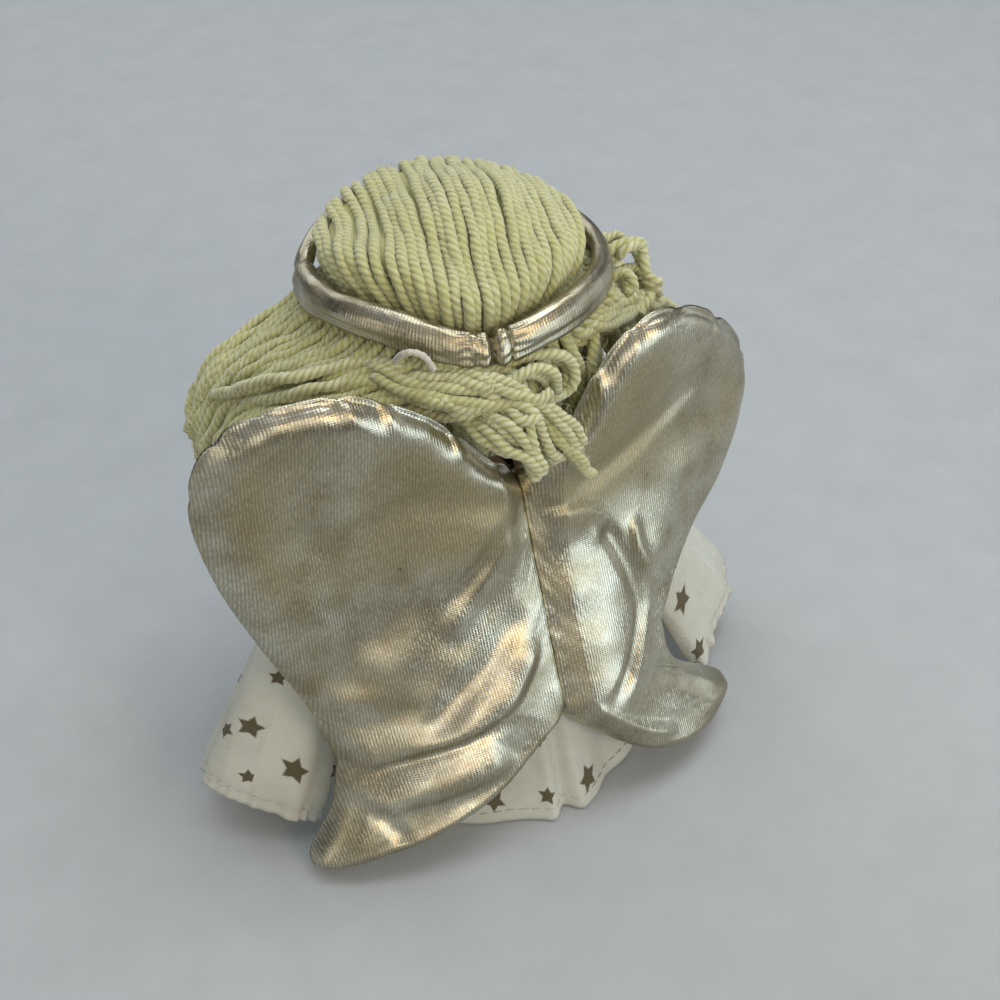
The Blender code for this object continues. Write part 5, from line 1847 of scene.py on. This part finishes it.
@dataclass
class Halo(SubAssembly):
    """The padded foil tube round the crown, and the gathered join at the back."""

    form: HeadForm = field(default_factory=HeadForm)
    half_width: float = 1.75
    half_height: float = 2.6
    join: float = math.radians(7)
    clear: float = 0.3
    kinks: tuple[Triple, ...] = ((1.74, 0.05, 0.26), (1.62, 0.05, -0.10), (1.15, 0.10, 0.06),
                                 (-1.05, 0.12, 0.07), (2.45, 0.50, 0.34), (-2.0, 0.50, 0.25))
    rings: int = 420
    sides: int = 48

    def line(self, angle: Array) -> Array:
        """Points of the middle line, in the head's own directions.

        Args:
            angle: Angle from the back.

        Returns:
            The points.
        """
        height = self.form.halo_height(angle)
        wide, deep = self.form.wig_half(height, self.form.clear + self.form.yarn)
        slope = np.arctan((height - self.form.centre[2]) / wide)
        stand = np.hypot(self.half_width * np.cos(slope), self.half_height * np.sin(slope)) + self.clear
        off = stand / np.cos(slope)
        return np.stack(((wide + off) * np.sin(angle), self.form.centre[1] + (deep + off) * np.cos(angle),
                         height), -1)

    def hose(self, angle: Array, swell: Array, pleats: Array, count: int) -> tuple[Array, Array]:
        """Rings of the flattened tube with its sewn ridge.

        Args:
            angle: Angle of each ring from the back.
            swell: Share of the full section at each ring.
            pleats: Depth of the gathers at each ring.
            count: Gathers round the tube.

        Returns:
            Points and map places.
        """
        path = self.line(angle)
        out = unit(path - np.array(self.form.centre) * np.array((1, 1, 0)) - path * np.array((0, 0, 1)))
        tilt = math.radians(24)
        high = UP * math.cos(tilt) - out * math.sin(tilt)
        flat = out * math.cos(tilt) + UP * math.sin(tilt)
        round_it = round_angles(self.sides)
        sharp = 0.85
        wide, tall = blunt(np.cos(round_it), sharp), blunt(np.sin(round_it), sharp)
        lip = (round_it - 5.0 + math.pi) % TURN - math.pi
        ridge = 1 + 0.30 * bell(lip / 0.15) - 0.10 * bell((lip - 0.42) / 0.16)
        fold = 1 + pleats[:, None] * np.cos(count * round_it[None] + 1.6 * ripple(63, angle * 9)[:, None])
        size = swell[:, None] * ridge[None] * fold
        grid = swept(path, flat, high, self.half_width * wide * size, self.half_height * tall * size)
        places = stacked(run_of(path)[:, None], np.linspace(0, 13.0, self.sides + 1)[None])
        return self.form.turned(grid), places

    def tube(self, palette: Palette) -> Piece:
        """The tube from one side of the join round to the other.

        Args:
            palette: The shared finishes.

        Returns:
            The tube.
        """
        angle = np.linspace(self.join, TURN - self.join, self.rings)
        turn = (angle + math.pi) % TURN - math.pi
        swell = 1 + 0.03 * ripple(61, np.sin(angle) * 3, np.cos(angle) * 3)
        for middle, reach, deep in self.kinks:
            swell = swell * (1 - deep * bell((turn - middle) / reach))
        to_join = np.minimum(angle - angle[0], angle[-1] - angle) * 27
        swell = swell * (0.93 + 0.07 * ease(0, 4.0, to_join))
        pleats = 0.07 * ease(5.0, 0.0, to_join) + 0.012
        grid, places = self.hose(angle, swell, pleats, 9)
        worn = np.broadcast_to((0.12 + 0.10 * ripple(62, np.sin(angle) * 5, np.cos(angle) * 5))[:, None],
                               grid.shape[:2])
        maker = MeshMaker()
        maker.add_rings(grid, places, worn=np.clip(worn, 0, 1))
        return settle(maker, "padded_halo", palette.foil, "head", "foil_knit", "halo_cover", "halo_filling",
                      fill=0.75)

    def gathered_join(self, palette: Palette) -> list[Piece]:
        """The drawn-up ends of the tube, butted and whipped together with thread.

        Args:
            palette: The shared finishes.

        Returns:
            The join and its thread.
        """
        share = np.linspace(-1, 1, 90)
        angle = share * (self.join + 0.012)
        swell = 0.92 - 0.52 * bell(share / 0.16) + 0.14 * bell((share + 0.42) / 0.24)
        swell = swell - 0.16 * bell((share + 0.86) / 0.10) - 0.07 * bell((share - 0.6) / 0.12)
        grid, places = self.hose(angle, swell, 0.08 * np.cos(math.pi * share / 2), 7)
        maker = MeshMaker()
        maker.add_rings(grid, places, worn=np.full(grid.shape[:2], 0.15))
        join = settle(maker, "halo_gathered_join", palette.foil, "head", "foil_knit", "halo_join", fill=0.6)
        ring = grid[len(grid) // 2]
        path = even_steps(looped(ring), 0.3)
        threads = MeshMaker()
        threads.add_tube(path, 0.2, UP, sides=6)
        return [join, settle(threads, "halo_join_thread", palette.seam_thread, "head", "thread")]

    def build(self, palette: Palette) -> list[Piece]:
        """Makes the halo."""
        return [self.tube(palette), *self.gathered_join(palette)]


# Wings


@dataclass(frozen=True)
class Crease:
    """A fold in a wing's back: its line in (s, t), its height, and its reach to the left and the right."""

    line: tuple[Pair, ...]
    height: float
    left: float = 3.0
    right: float = 3.0
    fade: float = 0.18

    def relief(self, places: Array) -> Array:
        """Height that the crease adds.

        Args:
            places: Points (n, 2).

        Returns:
            Millimetres at each.
        """
        far, share, signed = line_distance(places, curve_through(self.line, 1.0))
        taper = ease(0, self.fade, share) * ease(1, 1 - self.fade, share)
        away = np.minimum(1, far / np.where(signed > 0, self.left, self.right))
        return self.height * taper * (0.5 + 0.5 * np.cos(math.pi * away))


@dataclass(frozen=True)
class Mound:
    """A soft swelling or hollow in a wing's back: its middle in (s, t), its reach and its height."""

    s: float
    t: float
    reach: Pair
    height: float

    def relief(self, places: Array) -> Array:
        """Height that the mound adds at points (n, 2), in millimetres."""
        away = (places - np.array((self.s, self.t))) / np.array(self.reach)
        return self.height * np.exp(-(away**2).sum(1))


@dataclass(frozen=True)
class SeamPlane:
    """The leaning plane of the wings' centre seam: its middle, its lean, and the seam's ends along it."""

    middle: Triple = (0.0, 25.5, 46.0)
    lean: float = math.radians(-22.5)
    ends: Pair = (-23.5, 23.0)

    @property
    def rise(self) -> Array:
        """The direction up along the seam."""
        return np.array((0, math.sin(self.lean), math.cos(self.lean)))

    @property
    def out(self) -> Array:
        """The direction off the plane, towards the back."""
        return np.array((0, math.cos(self.lean), -math.sin(self.lean)))


@dataclass
class Wing(SubAssembly):
    """A padded foil wing: two panels sewn edge to edge and stuffed, creased and puckered at its seams."""

    side: Side
    outline: tuple[Pair, ...]
    folds: tuple[Crease | Mound, ...]
    notches: tuple[Pair, ...]
    plane: SeamPlane = SeamPlane()
    inner_edge: float = 0.15
    centre: Pair = (13.0, -19.0)
    wrap: Pair = (70.0, 140.0)
    bend: float = math.radians(27)
    bend_at: float = 12.0
    bend_soft: float = 6.0
    sets_off: float = 6.0
    tail_curl: Triple = (5.0, -30.0, 15.0)
    rim: float = 5.0
    rim_turn: float = math.radians(62)
    rim_height: float = 3.5
    seam_stand: float = 0.92            # share of the full height where the two wings butt
    seam_rim: float = 0.7
    lobe_height: float = 2.4
    body_height: float = 4.7
    front_height: float = 1.9
    notch: float = 0.6
    lip: float = 0.9
    lip_from: Pair = (20.0, 31.0)
    rings: int = 64
    edge_points: int = 360

    def edge(self) -> Array:
        """The sewn edge in (s, t).

        Returns:
            Points, the first repeated at the end.
        """
        seam = [(self.inner_edge, t) for t in np.linspace(*self.plane.ends, 5)]
        line = curve_through([*seam, *self.outline], 0.5, closed=True)
        line[:, 0] = np.maximum(line[:, 0], self.inner_edge)
        span = np.linalg.norm(np.diff(line, axis=0), axis=1).sum() / self.edge_points
        return even_steps(line, span)

    def lift(self, s: Array, t: Array) -> Array:
        """How far the wing's middle surface stands off the plane of the centre seam.

        Args:
            s: Places out from the seam.
            t: Places along it.

        Returns:
            Millimetres at each.
        """
        upper = 1 / (1 + np.exp(-t / 8))
        wrap = (1 - upper) / (2 * self.wrap[0]) + upper / (2 * self.wrap[1])
        bend = math.tan(self.bend) * self.bend_soft * np.log1p(np.exp((t - self.bend_at) / self.bend_soft))
        curl = self.tail_curl[0] * np.maximum(0.0, (self.tail_curl[1] - t) / self.tail_curl[2]) ** 2
        away = np.minimum(1.0, s / self.sets_off)
        return -wrap * s * s + bend * away + curl * away

    def place(self, s: Array, t: Array, off: Array) -> Array:
        """Points of the wing a distance off its middle surface, towards the back."""
        return (np.array(self.plane.middle) + stacked(s * self.side.value, 0 * s, 0 * s)
                + t[..., None] * self.plane.rise + (self.lift(s, t) + off)[..., None] * self.plane.out)

    def relief(self, s: Array, t: Array, to_edge: Array, pucker: Array) -> tuple[Array, Array]:
        """Heights of the back and the front over the middle surface.

        Args:
            s: Places out from the seam.
            t: Places along it.
            to_edge: Distance to the sewn edge.
            pucker: How much the seam draws the cloth in, from 0 to 1.

        Returns:
            The back's height and the front's depth.
        """
        flat = self.lip * ease(*self.lip_from, t) * np.clip(1 - pucker, 0, 1)
        to_edge = np.maximum(to_edge - flat, 0)
        rim = self.rim * (self.seam_rim + (1 - self.seam_rim) * ease(2, 9, s)) * (0.5 + 0.5 * ease(-2, 22, t))
        turned = self.rim_turn * (1 - np.clip(to_edge / rim, 0, 1))
        roll = 1 - np.log(np.cos(turned)) / math.log(math.cos(self.rim_turn))
        foot, head = self.plane.ends
        butt = self.seam_stand * ease(6, 1, s) * ease(foot - 4, foot + 2, t) * ease(head + 3, head - 3, t)
        roll = roll + (1 - roll) * butt
        low = ease(22, -8, t)
        full = self.lobe_height + (self.body_height - self.lobe_height) * low
        past = np.maximum(to_edge - rim, 0)
        crest = self.rim_height + (full - self.rim_height) * (1 - bell(past / 7))
        back = roll * crest
        places = np.stack((s.ravel(), t.ravel()), 1)
        inside = ease(0.5, 5.0, to_edge)
        folds = sum(fold.relief(places) for fold in self.folds).reshape(s.shape)
        back = back + folds * inside
        back = back + 0.20 * inside * ripple(71 + self.side.value, s / 13, t / 13)
        back = back + 0.07 * roll * ripple(75 + self.side.value, s / 5, t / 5)
        drawn = pucker * np.exp(-to_edge / 2.4)
        back = back - drawn * roll * 0.7
        front = roll * (self.front_height * 0.8 + 0.15 * ripple(81, s / 12, t / 12)) - drawn * 0.4 * roll
        return np.maximum(back, 0.30), np.maximum(front, 0.30)

    def drawn_in(self, line: Array) -> Array:
        """How much the seam draws the edge in at each of its points, from 0 to about 1.

        Args:
            line: Points of the edge.

        Returns:
            The share at each.
        """
        along = np.linspace(0, 1, len(line)) * np.linalg.norm(np.diff(line, axis=0), axis=1).sum()
        pull = 0.07 * (1 + ripple(91 + self.side.value, along / 3.2, waves=5))
        for spot in self.notches:
            far = np.linalg.norm(line - np.array(spot), axis=1)
            pull = pull + 0.9 * bell(far / 1.5)
        return np.clip(pull, 0, 1.2)

    def build(self, palette: Palette) -> list[Piece]:
        """Makes the wing.

        Args:
            palette: The shared finishes.

        Returns:
            The wing.
        """
        line = self.edge()[:-1]
        pull = self.drawn_in(line)
        middle = np.array(self.centre)
        inward = unit(middle - line)
        free = ease(self.inner_edge + 0.2, self.inner_edge + 3.0, line[:, 0])
        sewn = line + inward * (self.notch * pull * free)[:, None]
        shares = 1 - np.linspace(0, 1, self.rings + 1)[:-1] ** 1.2
        st = middle + shares[:, None, None] * (sewn - middle)
        s, t = st[..., 0], st[..., 1]
        to_edge = line_distance(st.reshape(-1, 2), looped(sewn))[0].reshape(s.shape)
        pucker = np.broadcast_to(pull, s.shape)
        back, front = self.relief(s, t, to_edge, pucker)
        back[0], front[0] = 0.05, -0.05
        worn = ease(8, 20, t) * ease(2.5, 8, to_edge) * (0.85 + 0.3 * ripple(95, s / 14, t / 14))
        worn = np.clip(worn, 0, 1) * 0.85
        rear, face = self.place(s, t, back), self.place(s, t, -front)
        grid = np.concatenate((rear[::-1], face[1:]))
        around = np.concatenate((st, st[:, :1]), 1)
        places = np.concatenate((around[::-1], around[1:] + np.array((130.0, 0))))
        wear = np.concatenate((worn[::-1], worn[1:] * 0.5))
        maker = MeshMaker()
        maker.add_rings(grid, places, worn=wear)
        name = self.side.word
        return [settle(maker, f"{name}_padded_wing", palette.foil, f"{name}_wing", "foil_knit",
                       f"{name}_wing_back_panel", f"{name}_wing_front_panel", f"{name}_wing_filling",
                       fill=0.6)]


@dataclass
class WingSeam(SubAssembly):
    """The corded seam that both wings are sewn to, and the tape that holds it to the gown."""

    plane: SeamPlane = SeamPlane()
    radius: float = 0.42
    sunk: float = 0.4
    tape_half: Pair = (2.0, 0.4)

    def build(self, palette: Palette) -> list[Piece]:
        """Makes the cord with its whipping, and the tape.

        Args:
            palette: The shared finishes.

        Returns:
            The pieces.
        """
        rise, out = self.plane.rise, self.plane.out
        across = np.array((1.0, 0, 0))
        foot, head = self.plane.ends
        t = np.linspace(foot, head, 220)
        middle = np.array(self.plane.middle) - self.sunk * out
        path = middle + t[:, None] * rise
        maker = MeshMaker()
        size = self.radius * (0.72 + 0.14 * np.abs(np.sin(t * 1.9)))
        maker.add_tube(path, size, across)
        turn = np.linspace(0, 26 * TURN, 900)
        height = np.linspace(foot + 0.6, head - 0.6, 900)
        wound = (middle + height[:, None] * rise
                 + (across * np.cos(turn)[:, None] + out * np.sin(turn)[:, None]) * self.radius * 0.86)
        maker.add_tube(wound, 0.16, rise, sides=6)
        cord = settle(maker, "whipped_seam_cord", palette.seam_thread, "torso", "thread", "wing_seam_cord")
        low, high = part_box("wing_tape")
        heights = np.linspace(low.z / MM + 0.3, high.z / MM - 0.3, 60)
        halfway = 0.5 * (high.y / MM + low.y / MM)
        centre = halfway + (heights - heights.mean()) * (low.y - high.y) / (high.z - low.z) * 0.93
        line = np.stack((0 * heights, centre, heights), 1)
        tape = MeshMaker()
        wide = self.tape_half[0] * (0.94 + 0.04 * np.cos(heights * 3))
        tape.add_tube(line, wide, across, self.tape_half[1] * 0.7, sides=16)
        held = settle(tape, "woven_wing_tape", palette.seam_thread, "torso", "thread", "wing_tape")
        return [cord, held]


LEFT_OUTLINE = (
    (7, 29.5), (13, 36.5), (20, 43), (30, 49), (40, 50.5), (49, 49), (54.5, 43), (56, 33), (53, 18), (48, 4),
    (43, -9), (40.5, -20), (42.5, -30.5), (48.5, -39.5), (46.5, -42.5), (38, -41.8), (26, -39.5), (14, -35),
    (5, -28.5))
RIGHT_OUTLINE = (
    (7, 30), (12, 39), (18, 45), (26, 47), (36, 44), (47, 36), (53.5, 26), (53.5, 14), (47.5, 4), (38, -3),
    (31, -11), (27, -19), (29.5, -27.5), (38, -34), (43, -38.5), (39.5, -41.5), (29, -43), (17, -40),
    (6.5, -31.5))
LEFT_FOLDS = (
    Crease(((2.0, 20.6), (5.4, 21.8), (11.6, 23.6), (15.6, 25.0), (21.1, 26.7), (24.3, 25.9), (28.6, 24.2),
            (31.8, 22.8), (35.9, 23.5), (39.9, 24.8), (46.0, 26.5)), -0.9, 5.0, 5.0),
    Mound(13.0, 15.0, (9.0, 6.5), 2.2),
    Crease(((2.5, 21.0), (4.5, 19.0), (8.2, 14.9), (12.2, 9.9), (16.3, 5.6), (19.0, 3.0)), -0.9, 3.2, 2.8,
           0.45),
    Crease(((2.0, 14.0), (9.0, 8.5), (15.0, 3.0), (20.0, -2.0)), 0.5, 4.0, 4.0),
    Crease(((3.0, 1.5), (6.0, -1.3), (11.9, -6.8), (17.4, -11.3), (24.2, -17.0), (30.0, -18.0)), -0.6, 4.0,
           4.0),
    Crease(((1.5, -3.0), (6.2, -10.8), (11.4, -16.6), (19.0, -19.2), (25.8, -20.0), (33.5, -20.8),
            (39.8, -21.4), (44.0, -21.6)), 1.4, 8.0, 3.0),
    Crease(((9.0, -19.0), (12.0, -20.6), (19.0, -21.6), (26.0, -22.0), (36.0, -22.6)), -0.45, 2.8, 2.4,
           0.35),
    Crease(((11.0, -26.5), (15.0, -28.2), (24.6, -29.2), (31.1, -29.2), (39.0, -30.0), (42.0, -30.5)), 1.7,
           7.0, 4.5),
    Crease(((43.5, -24.5), (42.2, -26.2), (39.3, -29.5), (35.9, -32.9), (33.7, -38.3), (32.5, -42.0)), -1.0,
           2.8, 2.4),
    Mound(42.0, -34.0, (5.0, 5.0), 0.9),
    Mound(42.5, 13.0, (5.0, 5.0), 1.0),
    Mound(39.5, 6.5, (4.5, 4.5), 0.8),
    Mound(37.5, -9.5, (5.0, 3.2), 1.0),
    Mound(32.0, 5.0, (9.0, 9.0), -0.9),
)
LEFT_NOTCHES = (
    (44.9, 50.6), (33.1, 49.7), (25.7, 46.9), (51.0, 47.5), (55.6, 38.0), (14.0, 37.5), (40.8, -21.5))
RIGHT_FOLDS = (
    Crease(((4.0, 17.8), (8.6, 18.6), (16.6, 20.5), (22.0, 22.7), (29.0, 26.3), (34.6, 29.7), (40.0, 33.0)),
           -1.2, 5.0, 4.0),
    Crease(((1.0, 14.6), (3.5, 14.4), (7.0, 14.2), (11.0, 13.2), (13.5, 11.0), (16.0, 7.0)), 1.1, 2.2, 7.0),
    Crease(((11.0, 13.5), (13.2, 9.9), (16.7, 2.1), (18.6, -5.0), (19.0, -11.0), (15.6, -17.7),
            (10.2, -23.5), (7.0, -26.5)), -1.2, 3.4, 2.6),
    Mound(8.0, -19.0, (10.0, 19.0), 2.2),
    Crease(((20.0, 9.0), (20.8, 5.4), (21.4, 0.7), (23.6, -4.1), (26.8, -8.3), (29.0, -11.0)), 0.9, 2.4,
           2.0),
    Mound(26.5, 0.5, (4.0, 4.0), 0.7),
    Mound(34.7, 12.9, (5.0, 4.0), 0.9),
    Mound(26.0, -31.0, (6.0, 4.0), 0.8),
    Mound(40.0, -38.0, (12.0, 8.0), 1.9),
    Crease(((14.0, -22.0), (18.0, -24.0), (25.0, -27.0), (33.0, -33.0), (38.0, -36.5)), -0.5, 3.5, 3.5),
    Crease(((3.0, -23.5), (5.0, -26.0), (11.0, -31.5), (19.0, -36.5), (24.0, -38.5)), 0.8, 3.0, 3.0),
)
RIGHT_NOTCHES = (
    (12.5, 40.5), (20.0, 46.0), (30.0, 46.3), (41.0, 40.8), (51.0, 30.5), (28.0, -16.0), (36.0, -32.5))


# Stage


@dataclass(frozen=True)
class Lamp:
    """A soft light that faces the doll: its place and size in metres, its power in watts and its colour."""

    name: str
    place: Triple
    power: float
    size: Pair
    colour: str

    def hang(self) -> None:
        """Puts the lamp in the scene."""
        light = bpy.data.lights.new(self.name, "AREA")
        light.shape, light.energy, light.color = "RECTANGLE", self.power, linear(self.colour)[:3]
        light.size, light.size_y = self.size
        lamp = bpy.data.objects.new(self.name, light)
        bpy.context.scene.collection.objects.link(lamp)
        lamp.location = self.place
        to_doll = Vector((0, 0.01, 0.05)) - Vector(self.place)
        lamp.rotation_euler = to_doll.to_track_quat("-Z", "Y").to_euler()


@dataclass
class Stage:
    """The floor, the lights and the camera at the photograph's viewing angle."""

    camera_place: Triple = (0.10289, 0.19140, 0.23096)
    camera_back: Triple = (0.383022, 0.663414, 0.642788)
    lens: float = 54.0
    floor_half: float = 0.75
    floor_end: float = 0.17         # towards the viewer the floor ends, so that the foil mirrors a dark room
    sky: float = 0.52
    lamps: tuple[Lamp, ...] = (
        Lamp("key_softbox", (-0.30, 0.03, 0.76), 2.0, (0.36, 0.36), "F8FBFF"),
        Lamp("ceiling_softbox", (0.05, -0.12, 0.95), 1.8, (0.60, 0.60), "F8FBFF"),
        Lamp("front_softbox", (0.10, -1.00, 0.55), 2.4, (0.90, 0.60), "F8FBFF"),
        Lamp("window_wall", (0.10, 1.05, 0.44), 3.5, (1.50, 0.46), "FFFBF2"),
        Lamp("right_window", (-0.55, 0.87, 0.05), 3.0, (0.72, 0.46), "DFF1FF"),
        Lamp("low_window", (0.52, 0.86, 0.06), 0.5, (0.70, 0.26), "FFF4E0"),
        Lamp("left_window", (0.92, 0.16, 0.10), 0.75, (0.50, 0.40), "FFF6E4"),
        Lamp("right_card", (-0.95, 0.17, 0.09), 0.75, (0.50, 0.36), "F2FAFF"),
        Lamp("warm_lamp", (-0.12, 0.75, 0.48), 1.0, (0.26, 0.26), "FFD69C"),
    )

    def world(self) -> None:
        """A soft pale room, brighter overhead than at the sides."""
        world = bpy.data.worlds.new("soft_pale_room")
        bpy.context.scene.world = world
        world.use_nodes = True
        world.node_tree.nodes.clear()
        add = partial(add_node, world.node_tree)
        height = add("SeparateXYZ", {0: add("TexCoord", out="Generated")}, "Z")
        share = add("MapRange", {0: height, 1: 0.10, 2: 0.85, 3: 0.08, 4: 1.0})
        strength = add("Math", {0: share, 1: self.sky}, operation="MULTIPLY")
        room = add("Background", {"Color": linear("F1F4F8"), "Strength": strength})
        wall = add("Background", {"Color": linear("B2B7B9"), "Strength": 1.0})
        seen = add("LightPath", out="Is Camera Ray")
        add("OutputWorld", {"Surface": add("MixShader", {0: seen, 1: room, 2: wall})})

    def build(self) -> None:
        """Sets the stage."""
        mesh = bpy.data.meshes.new("pale_floor")
        half, end = self.floor_half, self.floor_end
        mesh.from_pydata([(-half, -half, 0), (half, -half, 0), (half, end, 0), (-half, end, 0)], [],
                         [(0, 1, 2, 3)])
        mesh.materials.append(PaleFloor("pale_felt_floor").make())
        floor = bpy.data.objects.new("pale_floor", mesh)
        bpy.context.scene.collection.objects.link(floor)
        self.world()
        for lamp in self.lamps:
            lamp.hang()
        lens = bpy.data.cameras.new("viewer")
        lens.lens, lens.sensor_width = self.lens, 36.0
        lens.clip_start, lens.clip_end = 0.01, 20.0
        camera = bpy.data.objects.new("viewer", lens)
        bpy.context.scene.collection.objects.link(camera)
        camera.location = self.camera_place
        camera.rotation_euler = Vector([-x for x in self.camera_back]).to_track_quat("-Z", "Y").to_euler()
        scene = bpy.context.scene
        scene.camera = camera
        scene.view_settings.view_transform = "Standard"


LEFT_SLEEVE_STARS = (
    Star(-25.3, 28.1, 1.6, -1.3), Star(-22.2, 41.9, 1.7, -1.9), Star(-25.5, 39.0, 2.2, -1.45),
    Star(-29.0, 48.3, 1.5, -1.2), Star(23.4, 44.0, 2.6, -1.75), Star(-19.6, 50.6, 1.6, -0.9))
RIGHT_SLEEVE_STARS = (
    Star(-19.8, 38.9, 2.6, -1.4), Star(-12.1, 38.5, 1.9, -0.8), Star(-18.3, 49.7, 2.2, -1.8),
    Star(-22.1, 31.7, 1.8, -1.0))
GOWN_BACK_STARS = (
    Star(16.3, 5.2, 2.5, 1.2), Star(4.9, 5.4, 1.9, 1.8), Star(-5.6, 5.1, 2.8, 1.4),
    Star(4.2, 17.2, 1.8, 1.0), Star(-12.5, 13.0, 1.9, 2.1))


def scattered_stars(seed: int, low: Pair, high: Pair, spacing: float,
                    kept: tuple[Star, ...] = ()) -> tuple[Star, ...]:
    """Stars of several sizes strewn over a piece of cloth round those that the photograph shows.

    Args:
        seed: Which strewing.
        low: Lowest place on the cloth's map.
        high: Highest place.
        spacing: Least distance between stars.
        kept: Stars that are there already.

    Returns:
        All the stars.
    """
    draw = np.random.default_rng(seed)
    stars = list(kept)
    for _ in range(600):
        u, v = draw.uniform(low, high)
        reach, turn = draw.choice((1.6, 2.0, 2.7)), draw.uniform(0, TURN)
        if all(math.hypot(u - star.u, v - star.v) > spacing for star in stars):
            stars.append(Star(u, v, reach, turn))
    return tuple(stars)


def main() -> None:
    """Builds the doll and its stage, and reports each piece."""
    logging.basicConfig(level=logging.INFO, format="%(name)s: %(message)s")
    Stage().build()
    palette = Palette.make()
    assemblies: list[SubAssembly] = [
        Torso(),
        Gown(back_stars=scattered_stars(1, (-56, 4), (56, 46), 10.0, GOWN_BACK_STARS),
             front_stars=scattered_stars(2, (-46, 22), (46, 50), 11.0)),
        Face(),
        Wig(),
        Halo(),
        WingSeam(),
        Wing(Side.LEFT, LEFT_OUTLINE, LEFT_FOLDS, LEFT_NOTCHES),
        Wing(Side.RIGHT, RIGHT_OUTLINE, RIGHT_FOLDS, RIGHT_NOTCHES),
    ]
    for side in Side:
        shown = LEFT_SLEEVE_STARS if side is Side.LEFT else RIGHT_SLEEVE_STARS
        stars = scattered_stars(4 + side.value, (-14, 8), (20, 52), 9.0, shown)
        assemblies += [Arm(side, stars, 0.0 if side is Side.LEFT else 4.0), Leg(side)]
    for assembly in assemblies:
        for piece in assembly.build(palette):
            log.info("%s: %d faces", piece.name, len(piece.data.polygons))


if __name__ == "__main__":
    main()
